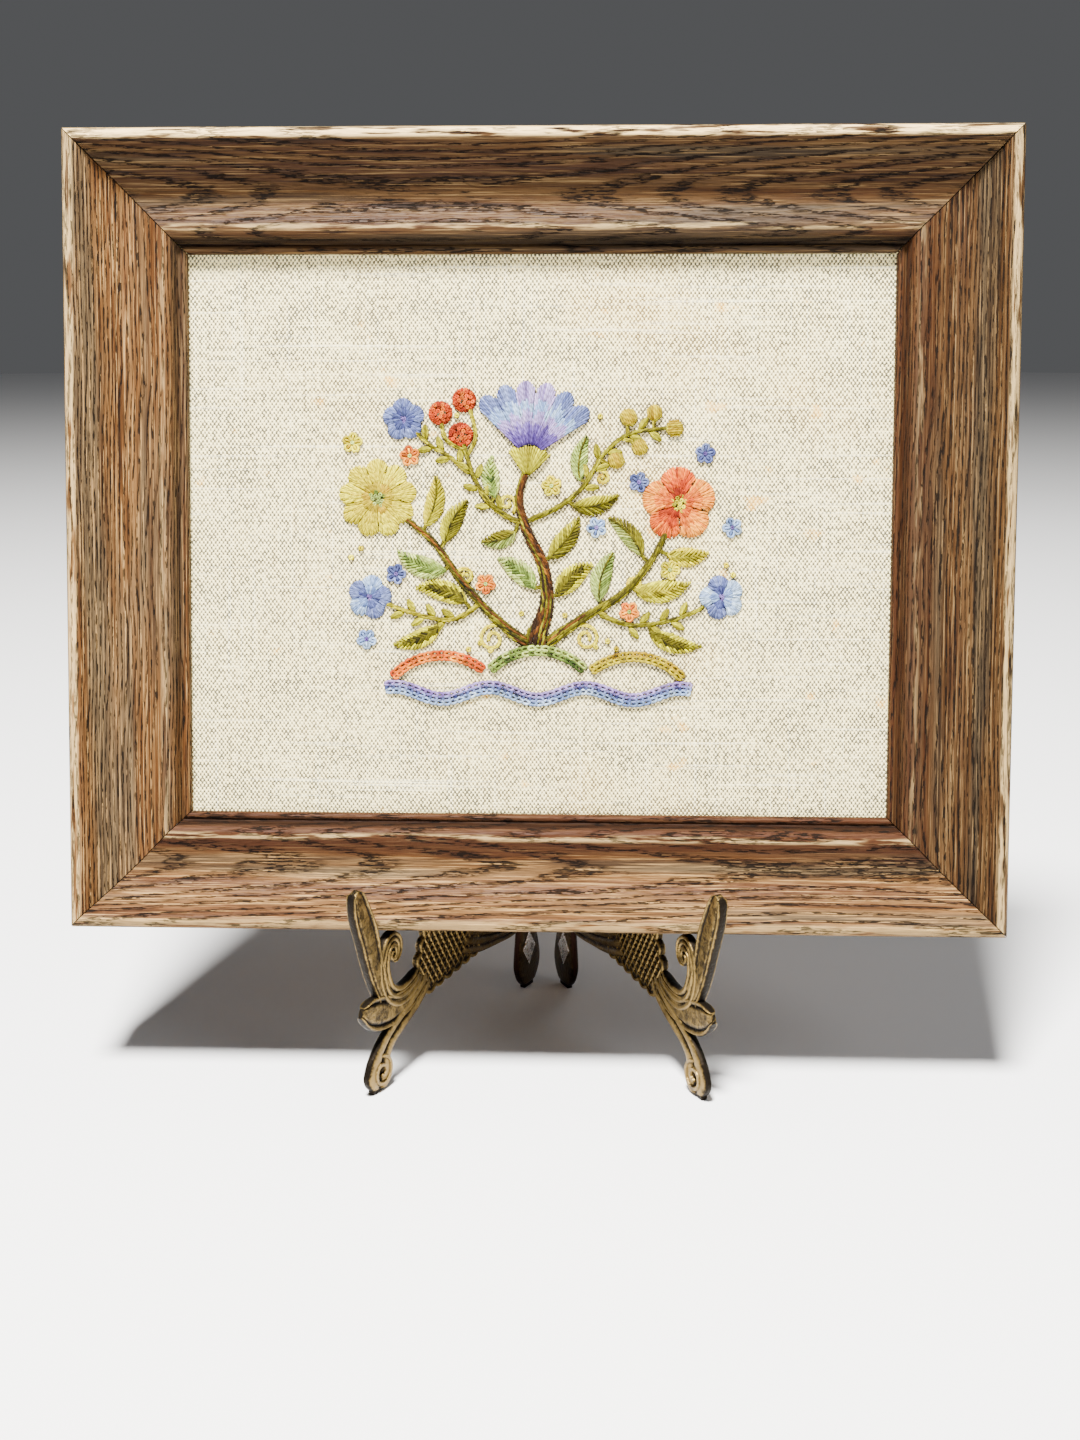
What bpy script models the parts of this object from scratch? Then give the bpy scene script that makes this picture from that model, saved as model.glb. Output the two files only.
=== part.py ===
# Crewel embroidery panel: stretched linen with raised wool motifs, in an oak frame
# on a folding brass easel.
import math

import bmesh
import bpy
from mathutils import Matrix

MM = 0.001
TOUCH = 0.3

# Picture frame, in millimetres
FRAME_W = 328.0
FRAME_H = 277.0
FRAME_D = 26.0
RAIL_W = 40.0
REBATE_W = 6.0
REBATE_D = 8.0
MITRE_SET = TOUCH / math.sqrt(2.0)
LEAN = math.radians(10.0)
FRAME_LIFT = 59.0

# What the rebate holds
PANEL_CLEARANCE = 1.0
LINEN_T = 1.2
BOARD_T = 3.0

# Easel, in millimetres
FOOT_HALF_SPAN = 58.2
FOOT_SETBACK = -4.7
PLATE_ANGLE = math.radians(26.6)
EASEL_SHIFT = 1.2
PLATE_HALF_T = 1.7
PLATE_EDGE_HALF_T = 1.15
HINGE_REACH = FOOT_HALF_SPAN / math.sin(PLATE_ANGLE)
BARREL_R = 3.6
BORE_R = 1.7
PIN_R = 1.4
PIN_HEAD_R = 2.6
PIN_HEAD_T = 1.6
BARREL_LOW = 33.4
BARREL_SPLIT = 47.0
BARREL_HIGH = 60.6
REST_TOP = 150.0
SOLE_HALF = 3.6
SOLE_H = 2.5

# Moulding section: inward from the outer edge, height above the back
MOULDING_FACE = [
    (0.0, 21.4), (0.5, 24.2), (1.8, 25.7), (3.6, 26.0), (5.2, 25.2), (7.2, 22.9), (10.0, 19.8),
    (13.0, 17.2), (16.0, 15.2), (19.0, 14.0), (22.0, 13.6), (25.0, 13.9), (28.0, 14.9),
    (30.6, 16.0), (32.6, 16.4), (34.4, 15.8), (35.8, 14.1), (36.6, 12.0), (37.2, 11.0),
    (38.0, 11.5), (38.9, 11.7), (39.6, 11.2), (40.0, 10.4),
]

# Cast easel scrolls: reach back from the front foot, height, width
PRONG = [
    (-8.2, 78.0, 2.6), (-7.6, 76.0, 6.4), (-5.6, 69.6, 9.6), (-1.9, 60.0, 10.6),
    (0.8, 50.0, 9.4), (3.8, 41.5, 8.4), (7.4, 34.5, 7.6),
]
CURL = [
    (29.5, 34.8, 6.4), (22.4, 31.8, 8.0), (16.2, 31.4, 8.0), (10.4, 34.6, 7.6), (7.4, 40.8, 7.0),
    (7.0, 47.4, 6.4), (9.4, 52.6, 6.0), (13.0, 54.3, 5.6), (15.8, 52.0, 5.2), (15.4, 48.0, 4.4),
    (13.0, 46.0, 2.8),
]
LOBE = [
    (32.0, 33.0, 8.0), (22.4, 29.2, 9.0), (12.4, 28.6, 10.0), (4.4, 30.2, 11.0),
    (-1.4, 31.8, 9.0), (-6.0, 33.2, 3.4),
]
LEG = [
    (35.5, 31.5, 7.0), (26.6, 25.8, 8.4), (17.2, 21.6, 9.0), (9.6, 17.6, 9.6), (4.4, 12.8, 11.2),
    (2.6, 8.0, 14.0), (2.2, 4.0, 13.0), (2.0, 1.2, 8.4),
]
FAN = [
    (64.0, 42.0, 22.6), (76.0, 37.4, 19.4), (87.0, 34.4, 15.2), (98.0, 33.0, 13.4),
    (106.0, 35.0, 13.0), (111.5, 38.0, 11.0),
]
POST = [
    (111.0, 62.0, 6.0), (111.2, 57.0, 10.0), (111.4, 45.0, 11.0), (110.8, 33.0, 12.6),
    (110.8, 25.4, 13.2), (111.4, 17.4, 17.0), (111.8, 10.4, 19.0), (111.8, 5.0, 15.0),
    (111.8, 1.2, 8.0),
]
# Corners of the latticed panel, with the scallops on each side that follows
LATTICE = [
    (29.4, 37.0, 3), (36.2, 53.0, 0), (70.0, 52.4, 0), (72.0, 30.4, 6), (34.2, 26.4, 0),
]
SCALLOP_RISE = 1.7

# Embroidery, in millimetres from the middle of the linen: x, y, width
STEMS = {
    "stem_centre": [
        (-1.0, -36.6, 7.4), (3.2, -24.0, 5.4), (1.8, -10.0, 4.6), (-4.0, 2.0, 4.0),
        (-7.0, 13.0, 3.4), (-5.4, 20.0, 2.8),
    ],
    "stem_left": [
        (-7.5, -35.0, 4.4), (-17.0, -27.0, 3.6), (-28.0, -14.5, 3.2), (-36.0, -3.0, 2.8),
        (-43.6, 3.6, 2.4),
    ],
    "stem_right": [
        (7.5, -34.5, 4.4), (17.0, -28.0, 3.6), (30.0, -20.0, 3.2), (39.5, -9.0, 2.8),
        (43.4, -2.0, 2.4),
    ],
    "twig_low_left": [
        (-22.8, -25.4, 2.2), (-31.0, -29.5, 2.0), (-43.0, -27.5, 1.8), (-51.0, -24.8, 1.6),
    ],
    "twig_low_right": [
        (23.4, -27.8, 2.2), (33.0, -31.0, 2.0), (46.0, -29.5, 1.8), (56.0, -25.9, 1.6),
    ],
    "twig_berry": [
        (-9.2, 6.2, 2.4), (-16.5, 11.0, 2.2), (-22.5, 20.0, 2.0), (-25.8, 30.0, 1.6),
    ],
    "twig_star": [
        (-26.6, 23.4, 1.8), (-31.0, 28.0, 1.6), (-37.4, 31.4, 1.5), (-41.2, 34.6, 1.4),
    ],
    "twig_bud": [
        (-1.2, 6.8, 2.4), (7.0, 10.5, 2.2), (16.0, 18.0, 2.0), (22.0, 28.0, 1.8),
        (31.0, 36.0, 1.6), (43.0, 38.0, 1.4),
    ],
}
# Leaves: base x, base y, tip x, tip y, width, bend
LEAVES = [
    (6.8, -20.6, 19.8, -9.2, 8.0, 0.08),
    (-1.3, -18.0, -14.5, -7.5, 7.6, -0.08),
    (3.8, -7.3, 14.5, 7.4, 7.6, -0.06),
    (-8.2, 1.5, -20.5, -1.5, 6.6, 0.10),
    (-25.4, -23.2, -44.0, -18.2, 7.6, -0.10),
    (-32.8, -11.8, -50.0, -4.8, 7.8, 0.12),
    (-33.2, -2.0, -24.6, 13.2, 7.2, 0.08),
    (-40.0, 3.9, -36.6, 22.0, 7.2, -0.10),
    (-35.0, -31.6, -52.0, -38.2, 6.8, 0.10),
    (21.7, -22.4, 27.0, -4.8, 7.4, 0.10),
    (34.4, -18.6, 54.0, -15.6, 8.0, -0.10),
    (36.6, -6.4, 24.2, 7.2, 7.0, -0.10),
    (40.0, -33.4, 58.0, -38.2, 6.8, -0.10),
    (-15.4, 14.0, -16.4, 28.5, 6.2, 0.08),
    (12.2, 11.2, 28.5, 15.2, 6.8, -0.12),
    (14.6, 20.0, 17.4, 36.0, 6.2, 0.10),
    (45.8, -6.0, 60.5, -5.0, 7.0, -0.10),
]
# Blossoms seen from the front: centre x, centre y, radius, petals, notch, turn, points a petal
BLOSSOMS = {
    "daisy": (-57.0, 13.5, 14.0, 9, 0.20, 0.20, 5),
    "primrose": (49.5, 11.8, 13.2, 5, 0.22, 0.35, 8),
    "star_low_left": (-60.0, -21.5, 8.0, 5, 0.24, 0.10, 6),
    "star_low_right": (65.0, -21.0, 8.0, 5, 0.24, 0.60, 6),
    "star_high": (-47.8, 41.2, 7.6, 5, 0.24, 0.40, 6),
}
# Berries and buds: centre x, centre y, radius
BERRIES = [(-27.6, 35.8, 4.4), (-34.8, 43.4, 4.2), (-26.4, 48.0, 4.2)]
BUDS = [
    (27.4, 27.0, 2.9), (35.6, 31.6, 2.8), (31.5, 42.0, 3.0), (40.6, 43.6, 2.8), (47.8, 38.2, 3.0),
]
# Blossoms seen from the side: base x, base y, radius, aim, spread, lobes, throat radius, notch
FANS = {
    "carnation": (-3.5, 27.5, 27.5, 84.0, 104.0, 6, 5.4, 0.16),
    "carnation_cup": (-4.2, 20.9, 9.0, 84.0, 84.0, 1, 1.2, 0.0),
}
# Mounds: centre x, centre y, radius, width, from, to
HILLS = {
    "hill_centre": (0.0, -63.6, 23.6, 3.6, 45.0, 135.0),
    "hill_left": (-34.0, -66.0, 24.0, 3.2, 52.0, 137.0),
    "hill_right": (34.0, -66.0, 24.0, 3.2, 43.0, 128.0),
}
WAVE_HALF = 54.4
WAVE_LENGTH = 34.0
WAVE_RISE = 2.2
WAVE_Y = -55.4
WAVE_W = 4.2
WAVE_STEPS = 26

STEM_CROWN = 1.3
LEAF_CROWN = 1.1
PETAL_CROWN = 1.2
KNOT_CROWN = 1.6
HILL_CROWN = 1.0

# Finishes: colour, metallic, roughness
FINISHES = {
    "oak": ((0.27, 0.17, 0.09), 0.0, 0.55),
    "linen": ((0.82, 0.77, 0.65), 0.0, 0.95),
    "board": ((0.36, 0.29, 0.21), 0.0, 0.9),
    "brass": ((0.30, 0.23, 0.10), 1.0, 0.42),
    "wool_brown": ((0.20, 0.10, 0.03), 0.0, 0.9),
    "wool_sage": ((0.42, 0.47, 0.24), 0.0, 0.9),
    "wool_olive": ((0.50, 0.46, 0.08), 0.0, 0.9),
    "wool_blue": ((0.30, 0.36, 0.72), 0.0, 0.9),
    "wool_violet": ((0.45, 0.38, 0.75), 0.0, 0.9),
    "wool_yellow": ((0.80, 0.66, 0.16), 0.0, 0.9),
    "wool_coral": ((0.80, 0.25, 0.16), 0.0, 0.9),
}


def clear_scene():
    for old in list(bpy.data.objects):
        bpy.data.objects.remove(old, do_unlink=True)


def make_material(name):
    colour, metallic, roughness = FINISHES[name]
    material = bpy.data.materials.new(name)
    material.use_nodes = True
    shader = material.node_tree.nodes["Principled BSDF"]
    shader.inputs["Base Color"].default_value = (*colour, 1.0)
    shader.inputs["Metallic"].default_value = metallic
    shader.inputs["Roughness"].default_value = roughness
    return material


def make_empty(name, parent=None, location=(0.0, 0.0, 0.0), turn=(0.0, 0.0, 0.0)):
    empty = bpy.data.objects.new(name, None)
    bpy.context.scene.collection.objects.link(empty)
    empty.parent = parent
    empty.location = [c * MM for c in location]
    empty.rotation_euler = turn
    return empty


def finish_mesh(name, bm, material, parent):
    bmesh.ops.scale(bm, vec=(MM, MM, MM), verts=bm.verts)
    bmesh.ops.recalc_face_normals(bm, faces=bm.faces)
    mesh = bpy.data.meshes.new(name)
    bm.to_mesh(mesh)
    bm.free()
    mesh.materials.append(material)
    made = bpy.data.objects.new(name, mesh)
    bpy.context.scene.collection.objects.link(made)
    made.parent = parent
    return made


# A closed body through rings that all have the same number of points
def loft(name, rings, material, parent):
    bm = bmesh.new()
    rows = [[bm.verts.new(point) for point in ring] for ring in rings]
    count = len(rings[0])
    for low, high in zip(rows, rows[1:]):
        for k in range(count):
            after = (k + 1) % count
            bm.faces.new((low[k], low[after], high[after], high[k]))
    bm.faces.new(rows[0])
    bm.faces.new(rows[-1])
    return finish_mesh(name, bm, material, parent)


def box(name, low, high, material, parent):
    bm = bmesh.new()
    bmesh.ops.create_cube(bm, size=1.0)
    size = [h - l for l, h in zip(low, high)]
    middle = [(h + l) / 2.0 for l, h in zip(low, high)]
    bmesh.ops.transform(bm, matrix=Matrix.LocRotScale(middle, None, size), verts=bm.verts)
    return finish_mesh(name, bm, material, parent)


# A smooth curve through the rows; every column is carried along
def smooth_rows(rows, per_span):
    out = []
    last = len(rows) - 1
    for i in range(last):
        before, start, end, after = rows[max(i - 1, 0)], rows[i], rows[i + 1], rows[min(i + 2, last)]
        for k in range(per_span):
            t = k / per_span
            out.append([
                0.5 * (2 * b + (c - a) * t + (2 * a - 5 * b + 4 * c - d) * t ** 2
                       + (3 * b - a - 3 * c + d) * t ** 3)
                for a, b, c, d in zip(before, start, end, after)
            ])
    out.append(list(rows[last]))
    return out


# The unit normal of a flat path at one of its rows
def side_at(path, i):
    x0, y0 = path[max(i - 1, 0)][:2]
    x1, y1 = path[min(i + 1, len(path) - 1)][:2]
    length = math.hypot(x1 - x0, y1 - y0)
    return -(y1 - y0) / length, (x1 - x0) / length


# Picture frame
def rail_ends(name, inward):
    half_w = FRAME_W / 2.0
    if name == "rail_bottom":
        return [(s * (half_w - inward - MITRE_SET), inward) for s in (-1, 1)]
    if name == "rail_top":
        return [(s * (half_w - inward - MITRE_SET), FRAME_H - inward) for s in (-1, 1)]
    side = -1 if name == "rail_left" else 1
    x = side * (half_w - inward)
    return [(x, inward + MITRE_SET), (x, FRAME_H - inward - MITRE_SET)]


def make_frame(parent, material):
    section = smooth_rows(MOULDING_FACE, 2)
    section += [
        (RAIL_W, REBATE_D), (RAIL_W - REBATE_W, REBATE_D), (RAIL_W - REBATE_W, 0.0), (0.0, 0.0),
    ]
    for name in ("rail_bottom", "rail_top", "rail_left", "rail_right"):
        rings = ([], [])
        for inward, height in section:
            for ring, (x, z) in zip(rings, rail_ends(name, inward)):
                ring.append((x, FRAME_D - height, z))
        loft(name, rings, material, parent)


def make_panel(parent, materials):
    half_w = FRAME_W / 2.0 - RAIL_W + REBATE_W - PANEL_CLEARANCE
    low_z = RAIL_W - REBATE_W + PANEL_CLEARANCE
    high_z = FRAME_H - low_z
    front = linen_front()
    box("linen", (-half_w, front, low_z), (half_w, front + LINEN_T, high_z), materials["linen"], parent)
    back = front + LINEN_T + TOUCH
    box("backing_board", (-half_w, back, low_z), (half_w, back + BOARD_T, high_z),
        materials["board"], parent)


def linen_front():
    return FRAME_D - REBATE_D + TOUCH


# Embroidery: a motif's point at a height over the linen
def raised(x, y, height):
    return (x, linen_front() - TOUCH - height, FRAME_H / 2.0 + y)


def strip_pad(name, path, crown, material, parent):
    section = ((-1.0, 0.0), (-0.72, 0.7), (0.0, 1.0), (0.72, 0.7), (1.0, 0.0))
    rings = []
    for i, (x, y, width) in enumerate(path):
        nx, ny = side_at(path, i)
        rings.append([
            raised(x + nx * width / 2.0 * across, y + ny * width / 2.0 * across, crown * up)
            for across, up in section
        ])
    loft(name, rings, material, parent)


def round_pad(name, outline, centre, crown, material, parent):
    shells = ((1.0, 0.0), (0.93, 0.6), (0.6, 1.0))
    rings = []
    for scale, up in shells:
        rings.append([
            raised(centre[0] + (x - centre[0]) * scale, centre[1] + (y - centre[1]) * scale, crown * up)
            for x, y in outline
        ])
    loft(name, rings, material, parent)


def leaf_path(base_x, base_y, tip_x, tip_y, width, bend):
    steps = 8
    least = 0.5
    length = math.hypot(tip_x - base_x, tip_y - base_y)
    ux, uy = (tip_x - base_x) / length, (tip_y - base_y) / length
    path = []
    for k in range(steps + 1):
        t = k / steps
        off = bend * length * 4.0 * t * (1.0 - t)
        breadth = width * max(math.sin(math.pi * t ** 0.85), 0.0) ** 0.8
        path.append((base_x + ux * length * t - uy * off, base_y + uy * length * t + ux * off,
                     max(breadth, least)))
    return path


def blossom_outline(x, y, radius, petals, notch, turn, points):
    outline = []
    total = petals * points
    for k in range(total):
        angle = 2.0 * math.pi * k / total
        lobe = abs(math.cos(petals * angle / 2.0)) ** 0.7
        reach = radius * (1.0 - notch + notch * lobe)
        outline.append((x + reach * math.cos(angle + turn), y + reach * math.sin(angle + turn)))
    return outline


def disc_outline(x, y, radius):
    corners = 12
    return [
        (x + radius * math.cos(2.0 * math.pi * k / corners),
         y + radius * math.sin(2.0 * math.pi * k / corners))
        for k in range(corners)
    ]


def fan_outline(x, y, radius, aim, spread, lobes, throat, notch):
    points = lobes * 5
    start = math.radians(aim + spread / 2.0)
    sweep = math.radians(spread)
    outline = []
    for k in range(points + 1):
        t = k / points
        lobe = abs(math.sin(math.pi * lobes * t)) ** 0.6
        reach = radius * (1.0 - notch + notch * lobe)
        angle = start - sweep * t
        outline.append((x + reach * math.cos(angle), y + reach * math.sin(angle)))
    for angle in (start - sweep, start):
        outline.append((x + throat * math.cos(angle), y + throat * math.sin(angle)))
    return outline


def make_embroidery(parent, materials):
    for name, rows in STEMS.items():
        wool = "wool_brown" if name.startswith("stem") else "wool_olive"
        strip_pad(name, smooth_rows(rows, 3), STEM_CROWN, materials[wool], parent)
    for i, row in enumerate(LEAVES):
        wool = "wool_sage" if i % 2 else "wool_olive"
        strip_pad(f"leaf_{i + 1:02d}", leaf_path(*row), LEAF_CROWN, materials[wool], parent)
    for name, row in BLOSSOMS.items():
        wool = {"daisy": "wool_yellow", "primrose": "wool_coral"}.get(name, "wool_blue")
        round_pad(name, blossom_outline(*row), row[:2], PETAL_CROWN, materials[wool], parent)
    for i, row in enumerate(BERRIES):
        round_pad(f"berry_{i + 1}", disc_outline(*row), row[:2], KNOT_CROWN, materials["wool_coral"], parent)
    for i, row in enumerate(BUDS):
        round_pad(f"bud_{i + 1}", disc_outline(*row), row[:2], KNOT_CROWN, materials["wool_yellow"], parent)
    for name, row in FANS.items():
        x, y, radius, aim = row[:4]
        middle = (x + 0.6 * radius * math.cos(math.radians(aim)),
                  y + 0.6 * radius * math.sin(math.radians(aim)))
        wool = "wool_violet" if name == "carnation" else "wool_olive"
        round_pad(name, fan_outline(*row), middle, PETAL_CROWN, materials[wool], parent)
    for name, (x, y, radius, width, start, end) in HILLS.items():
        steps = 12
        angles = [math.radians(start + (end - start) * k / steps) for k in range(steps + 1)]
        path = [(x + radius * math.cos(a), y + radius * math.sin(a), width) for a in angles]
        wool = {"hill_centre": "wool_sage", "hill_left": "wool_coral"}.get(name, "wool_yellow")
        strip_pad(name, path, HILL_CROWN, materials[wool], parent)
    places = [WAVE_HALF * (2.0 * k / WAVE_STEPS - 1.0) for k in range(WAVE_STEPS + 1)]
    path = [(x, WAVE_Y - WAVE_RISE * math.cos(2.0 * math.pi * x / WAVE_LENGTH), WAVE_W) for x in places]
    strip_pad("wave", path, HILL_CROWN, materials["wool_violet"], parent)


# Easel: a scroll of lens-shaped section along smoothed rows
def scroll(name, rows, thinner, material, parent):
    half_t = PLATE_HALF_T - thinner
    edge_t = PLATE_EDGE_HALF_T - thinner
    section = (
        (-1.0, -edge_t), (-1.0, edge_t), (-0.5, half_t), (0.5, half_t),
        (1.0, edge_t), (1.0, -edge_t), (0.5, -half_t), (-0.5, -half_t),
    )
    path = smooth_rows(rows, 2)
    rings = []
    for i, (reach, up, width) in enumerate(path):
        nu, nv = side_at(path, i)
        rings.append([
            (reach + nu * width / 2.0 * across, through, up + nv * width / 2.0 * across)
            for across, through in section
        ])
    return loft(name, rings, material, parent)


def slab(name, outline, half_t, material, parent):
    rings = [[(reach, through, up) for reach, up in outline] for through in (-half_t, half_t)]
    return loft(name, rings, material, parent)


def lattice_outline():
    outline = []
    for i, (reach, up, scallops) in enumerate(LATTICE):
        end_reach, end_up = LATTICE[(i + 1) % len(LATTICE)][:2]
        outline.append((reach, up))
        if not scallops:
            continue
        length = math.hypot(end_reach - reach, end_up - up)
        out_u, out_v = -(end_up - up) / length, (end_reach - reach) / length
        steps = scallops * 4
        for k in range(1, steps):
            t = k / steps
            rise = SCALLOP_RISE * abs(math.sin(math.pi * scallops * t))
            outline.append((reach + (end_reach - reach) * t + out_u * rise,
                            up + (end_up - up) * t + out_v * rise))
    return outline


# Where the frame's back plane crosses a plate, measured along the plate
def back_plane_reach(up):
    along_y = FRAME_D / math.cos(LEAN) + (up - FRAME_LIFT) * math.tan(LEAN)
    return (along_y - FOOT_SETBACK) / math.cos(PLATE_ANGLE)


def rest_rows():
    plate_slant = PLATE_HALF_T * math.tan(PLATE_ANGLE)
    rows = []
    for up, width in ((59.0, 11.0), (75.0, 9.6), (95.0, 8.4), (115.0, 7.6), (135.0, 7.0), (REST_TOP, 5.0)):
        edge = back_plane_reach(up) + plate_slant + 1.5 * TOUCH
        rows.append((edge + width / 2.0, up, width))
    return [(rows[0][0] + 1.0, 47.0, 12.0)] + rows


def barrel(name, low, high, material, parent):
    corners = 20
    rings = []
    for radius, up in ((BARREL_R, low), (BARREL_R, high), (BORE_R, high), (BORE_R, low)):
        rings.append([
            (HINGE_REACH + radius * math.cos(2.0 * math.pi * k / corners),
             radius * math.sin(2.0 * math.pi * k / corners), up)
            for k in range(corners)
        ])
    bm = bmesh.new()
    rows = [[bm.verts.new(point) for point in ring] for ring in rings]
    for low_row, high_row in zip(rows, rows[1:] + rows[:1]):
        for k in range(corners):
            after = (k + 1) % corners
            bm.faces.new((low_row[k], low_row[after], high_row[after], high_row[k]))
    return finish_mesh(name, bm, material, parent)


def fuse(name, body, others):
    body.name = name
    body.data.name = name
    group = bpy.data.collections.new(f"{name}_members")
    for member in others:
        group.objects.link(member)
        member.hide_render = True
        member.display_type = "WIRE"
    joined = body.modifiers.new("members", "BOOLEAN")
    joined.operation = "UNION"
    joined.operand_type = "COLLECTION"
    joined.collection = group
    joined.solver = "EXACT"


def make_plate(side, parent, material):
    name = f"easel_plate_{side}"
    members = []
    for k, rows in enumerate((CURL, LOBE, LEG, PRONG, FAN, POST, rest_rows())):
        members.append(scroll(f"{name}_scroll_{k}", rows, 0.05 * k, material, parent))
    members.append(slab(f"{name}_lattice", lattice_outline(), PLATE_EDGE_HALF_T, material, parent))
    for place, reach in (("front", LEG[-1][0]), ("back", POST[-1][0])):
        low = (reach - SOLE_HALF, -PLATE_EDGE_HALF_T, 0.0)
        high = (reach + SOLE_HALF, PLATE_EDGE_HALF_T, SOLE_H)
        members.append(box(f"{name}_sole_{place}", low, high, material, parent))
    if side == "left":
        low, high = BARREL_LOW, BARREL_SPLIT - TOUCH / 2.0
    else:
        low, high = BARREL_SPLIT + TOUCH / 2.0, BARREL_HIGH
    members.append(barrel(f"{name}_barrel", low, high, material, parent))
    wall_middle = HINGE_REACH - (BARREL_R + BORE_R) / 2.0
    arm_inset = 0.6
    members.append(box(
        f"{name}_arm", (POST[2][0], -PLATE_EDGE_HALF_T, low + arm_inset),
        (wall_middle, PLATE_EDGE_HALF_T, high - arm_inset), material, parent,
    ))
    fuse(name, members[-4], members[:-4] + members[-3:])


def make_pin(parent, material):
    corners = 16
    profile = [
        (PIN_HEAD_R * 0.6, BARREL_LOW - TOUCH - PIN_HEAD_T),
        (PIN_HEAD_R, BARREL_LOW - TOUCH - PIN_HEAD_T * 0.6), (PIN_HEAD_R, BARREL_LOW - TOUCH),
        (PIN_R, BARREL_LOW - TOUCH), (PIN_R, BARREL_HIGH + TOUCH), (PIN_HEAD_R, BARREL_HIGH + TOUCH),
        (PIN_HEAD_R, BARREL_HIGH + TOUCH + PIN_HEAD_T * 0.6),
        (PIN_HEAD_R * 0.6, BARREL_HIGH + TOUCH + PIN_HEAD_T),
    ]
    rings = [
        [(radius * math.cos(2.0 * math.pi * k / corners), radius * math.sin(2.0 * math.pi * k / corners), up)
         for k in range(corners)]
        for radius, up in profile
    ]
    loft("hinge_pin", rings, material, parent)


def make_easel(root, material):
    quarter = math.pi / 2.0
    for side, sign in (("left", -1.0), ("right", 1.0)):
        axis = make_empty(
            f"plate_axis_{side}", root, (EASEL_SHIFT + sign * FOOT_HALF_SPAN, FOOT_SETBACK, 0.0),
            (0.0, 0.0, quarter + sign * PLATE_ANGLE),
        )
        make_plate(side, axis, material)
    hinge_y = FOOT_SETBACK + HINGE_REACH * math.cos(PLATE_ANGLE)
    make_pin(make_empty("hinge_axis", root, (EASEL_SHIFT, hinge_y, 0.0)), material)


# Puts the origin under the middle of the whole object's depth
def centre_depth(root):
    bpy.context.view_layer.update()
    graph = bpy.context.evaluated_depsgraph_get()
    depths = []
    for made in bpy.context.scene.objects:
        if made.type == "MESH" and not made.hide_render:
            shape = made.evaluated_get(graph)
            depths += [(made.matrix_world @ v.co).y for v in shape.data.vertices]
    root.location.y = -(min(depths) + max(depths)) / 2.0


def main():
    clear_scene()
    materials = {name: make_material(name) for name in FINISHES}
    root = make_empty("stand_origin")
    lean = make_empty("panel_lean", root, (0.0, 0.0, FRAME_LIFT), (-LEAN, 0.0, 0.0))
    make_frame(lean, materials["oak"])
    make_panel(lean, materials)
    make_embroidery(lean, materials)
    make_easel(root, materials["brass"])
    centre_depth(root)


main()
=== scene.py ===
from functools import cache
from math import atan2, cos, floor, hypot, pi, radians, sin, sqrt, tan

import bmesh
import bpy
import numpy as np
from mathutils import Matrix, Vector


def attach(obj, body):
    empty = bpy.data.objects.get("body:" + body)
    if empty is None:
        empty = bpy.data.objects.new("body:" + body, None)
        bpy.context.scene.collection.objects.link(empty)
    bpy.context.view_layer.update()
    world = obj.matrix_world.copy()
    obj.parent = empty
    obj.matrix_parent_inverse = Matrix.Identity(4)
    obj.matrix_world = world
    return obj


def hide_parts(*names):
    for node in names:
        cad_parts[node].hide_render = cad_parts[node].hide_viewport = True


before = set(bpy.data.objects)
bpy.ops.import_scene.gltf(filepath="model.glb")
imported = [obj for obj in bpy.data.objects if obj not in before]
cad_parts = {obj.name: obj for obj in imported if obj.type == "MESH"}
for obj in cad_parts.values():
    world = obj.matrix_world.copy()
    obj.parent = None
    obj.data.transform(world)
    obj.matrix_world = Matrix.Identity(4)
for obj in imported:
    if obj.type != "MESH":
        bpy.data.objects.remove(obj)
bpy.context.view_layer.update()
print("frame loaded:", len(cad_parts), "nodes")

mm = 0.001
fullTurn = 2.0 * pi
golden = pi * (3.0 - sqrt(5.0))

# How the framed panel stands: its lean, the height and depth of its lower front edge
panel = {"lean": radians(10.0), "lift": 59.0, "setBack": -50.1857, "linenFront": 18.3, "depth": 26.0,
         "halfHeight": 138.5, "height": 277.0, "halfWidth": 164.0}

camera = {"place": (0.02142, -0.58501, 0.26589), "turn": (76.34276, 0.04304, 2.06085),
          "lens": 40.84, "sensor": 36.0, "near": 0.02, "far": 30.0}


def show(name, data):
    made = bpy.data.objects.new(name, data)
    bpy.context.scene.collection.objects.link(made)
    return made


def makeCamera():
    lens = bpy.data.cameras.new("camera")
    lens.lens, lens.sensor_width, lens.sensor_fit = camera["lens"], camera["sensor"], "AUTO"
    lens.clip_start, lens.clip_end = camera["near"], camera["far"]
    eye = show("camera", lens)
    eye.location = camera["place"]
    eye.rotation_euler = [radians(angle) for angle in camera["turn"]]
    bpy.context.scene.camera = eye


makeCamera()


# A new piece, which may stand for CAD nodes
def addPiece(name, mesh, finish, slot, *nodes):
    piece = show(name, mesh)
    mesh.materials.append(finish)
    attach(piece, "root")
    if nodes:
        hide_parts(*nodes)
    return piece


# A CAD node that keeps its shape and gets a finish
def dress(name, finish):
    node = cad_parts[name]
    node.data.materials.clear()
    node.data.materials.append(finish)


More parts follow.
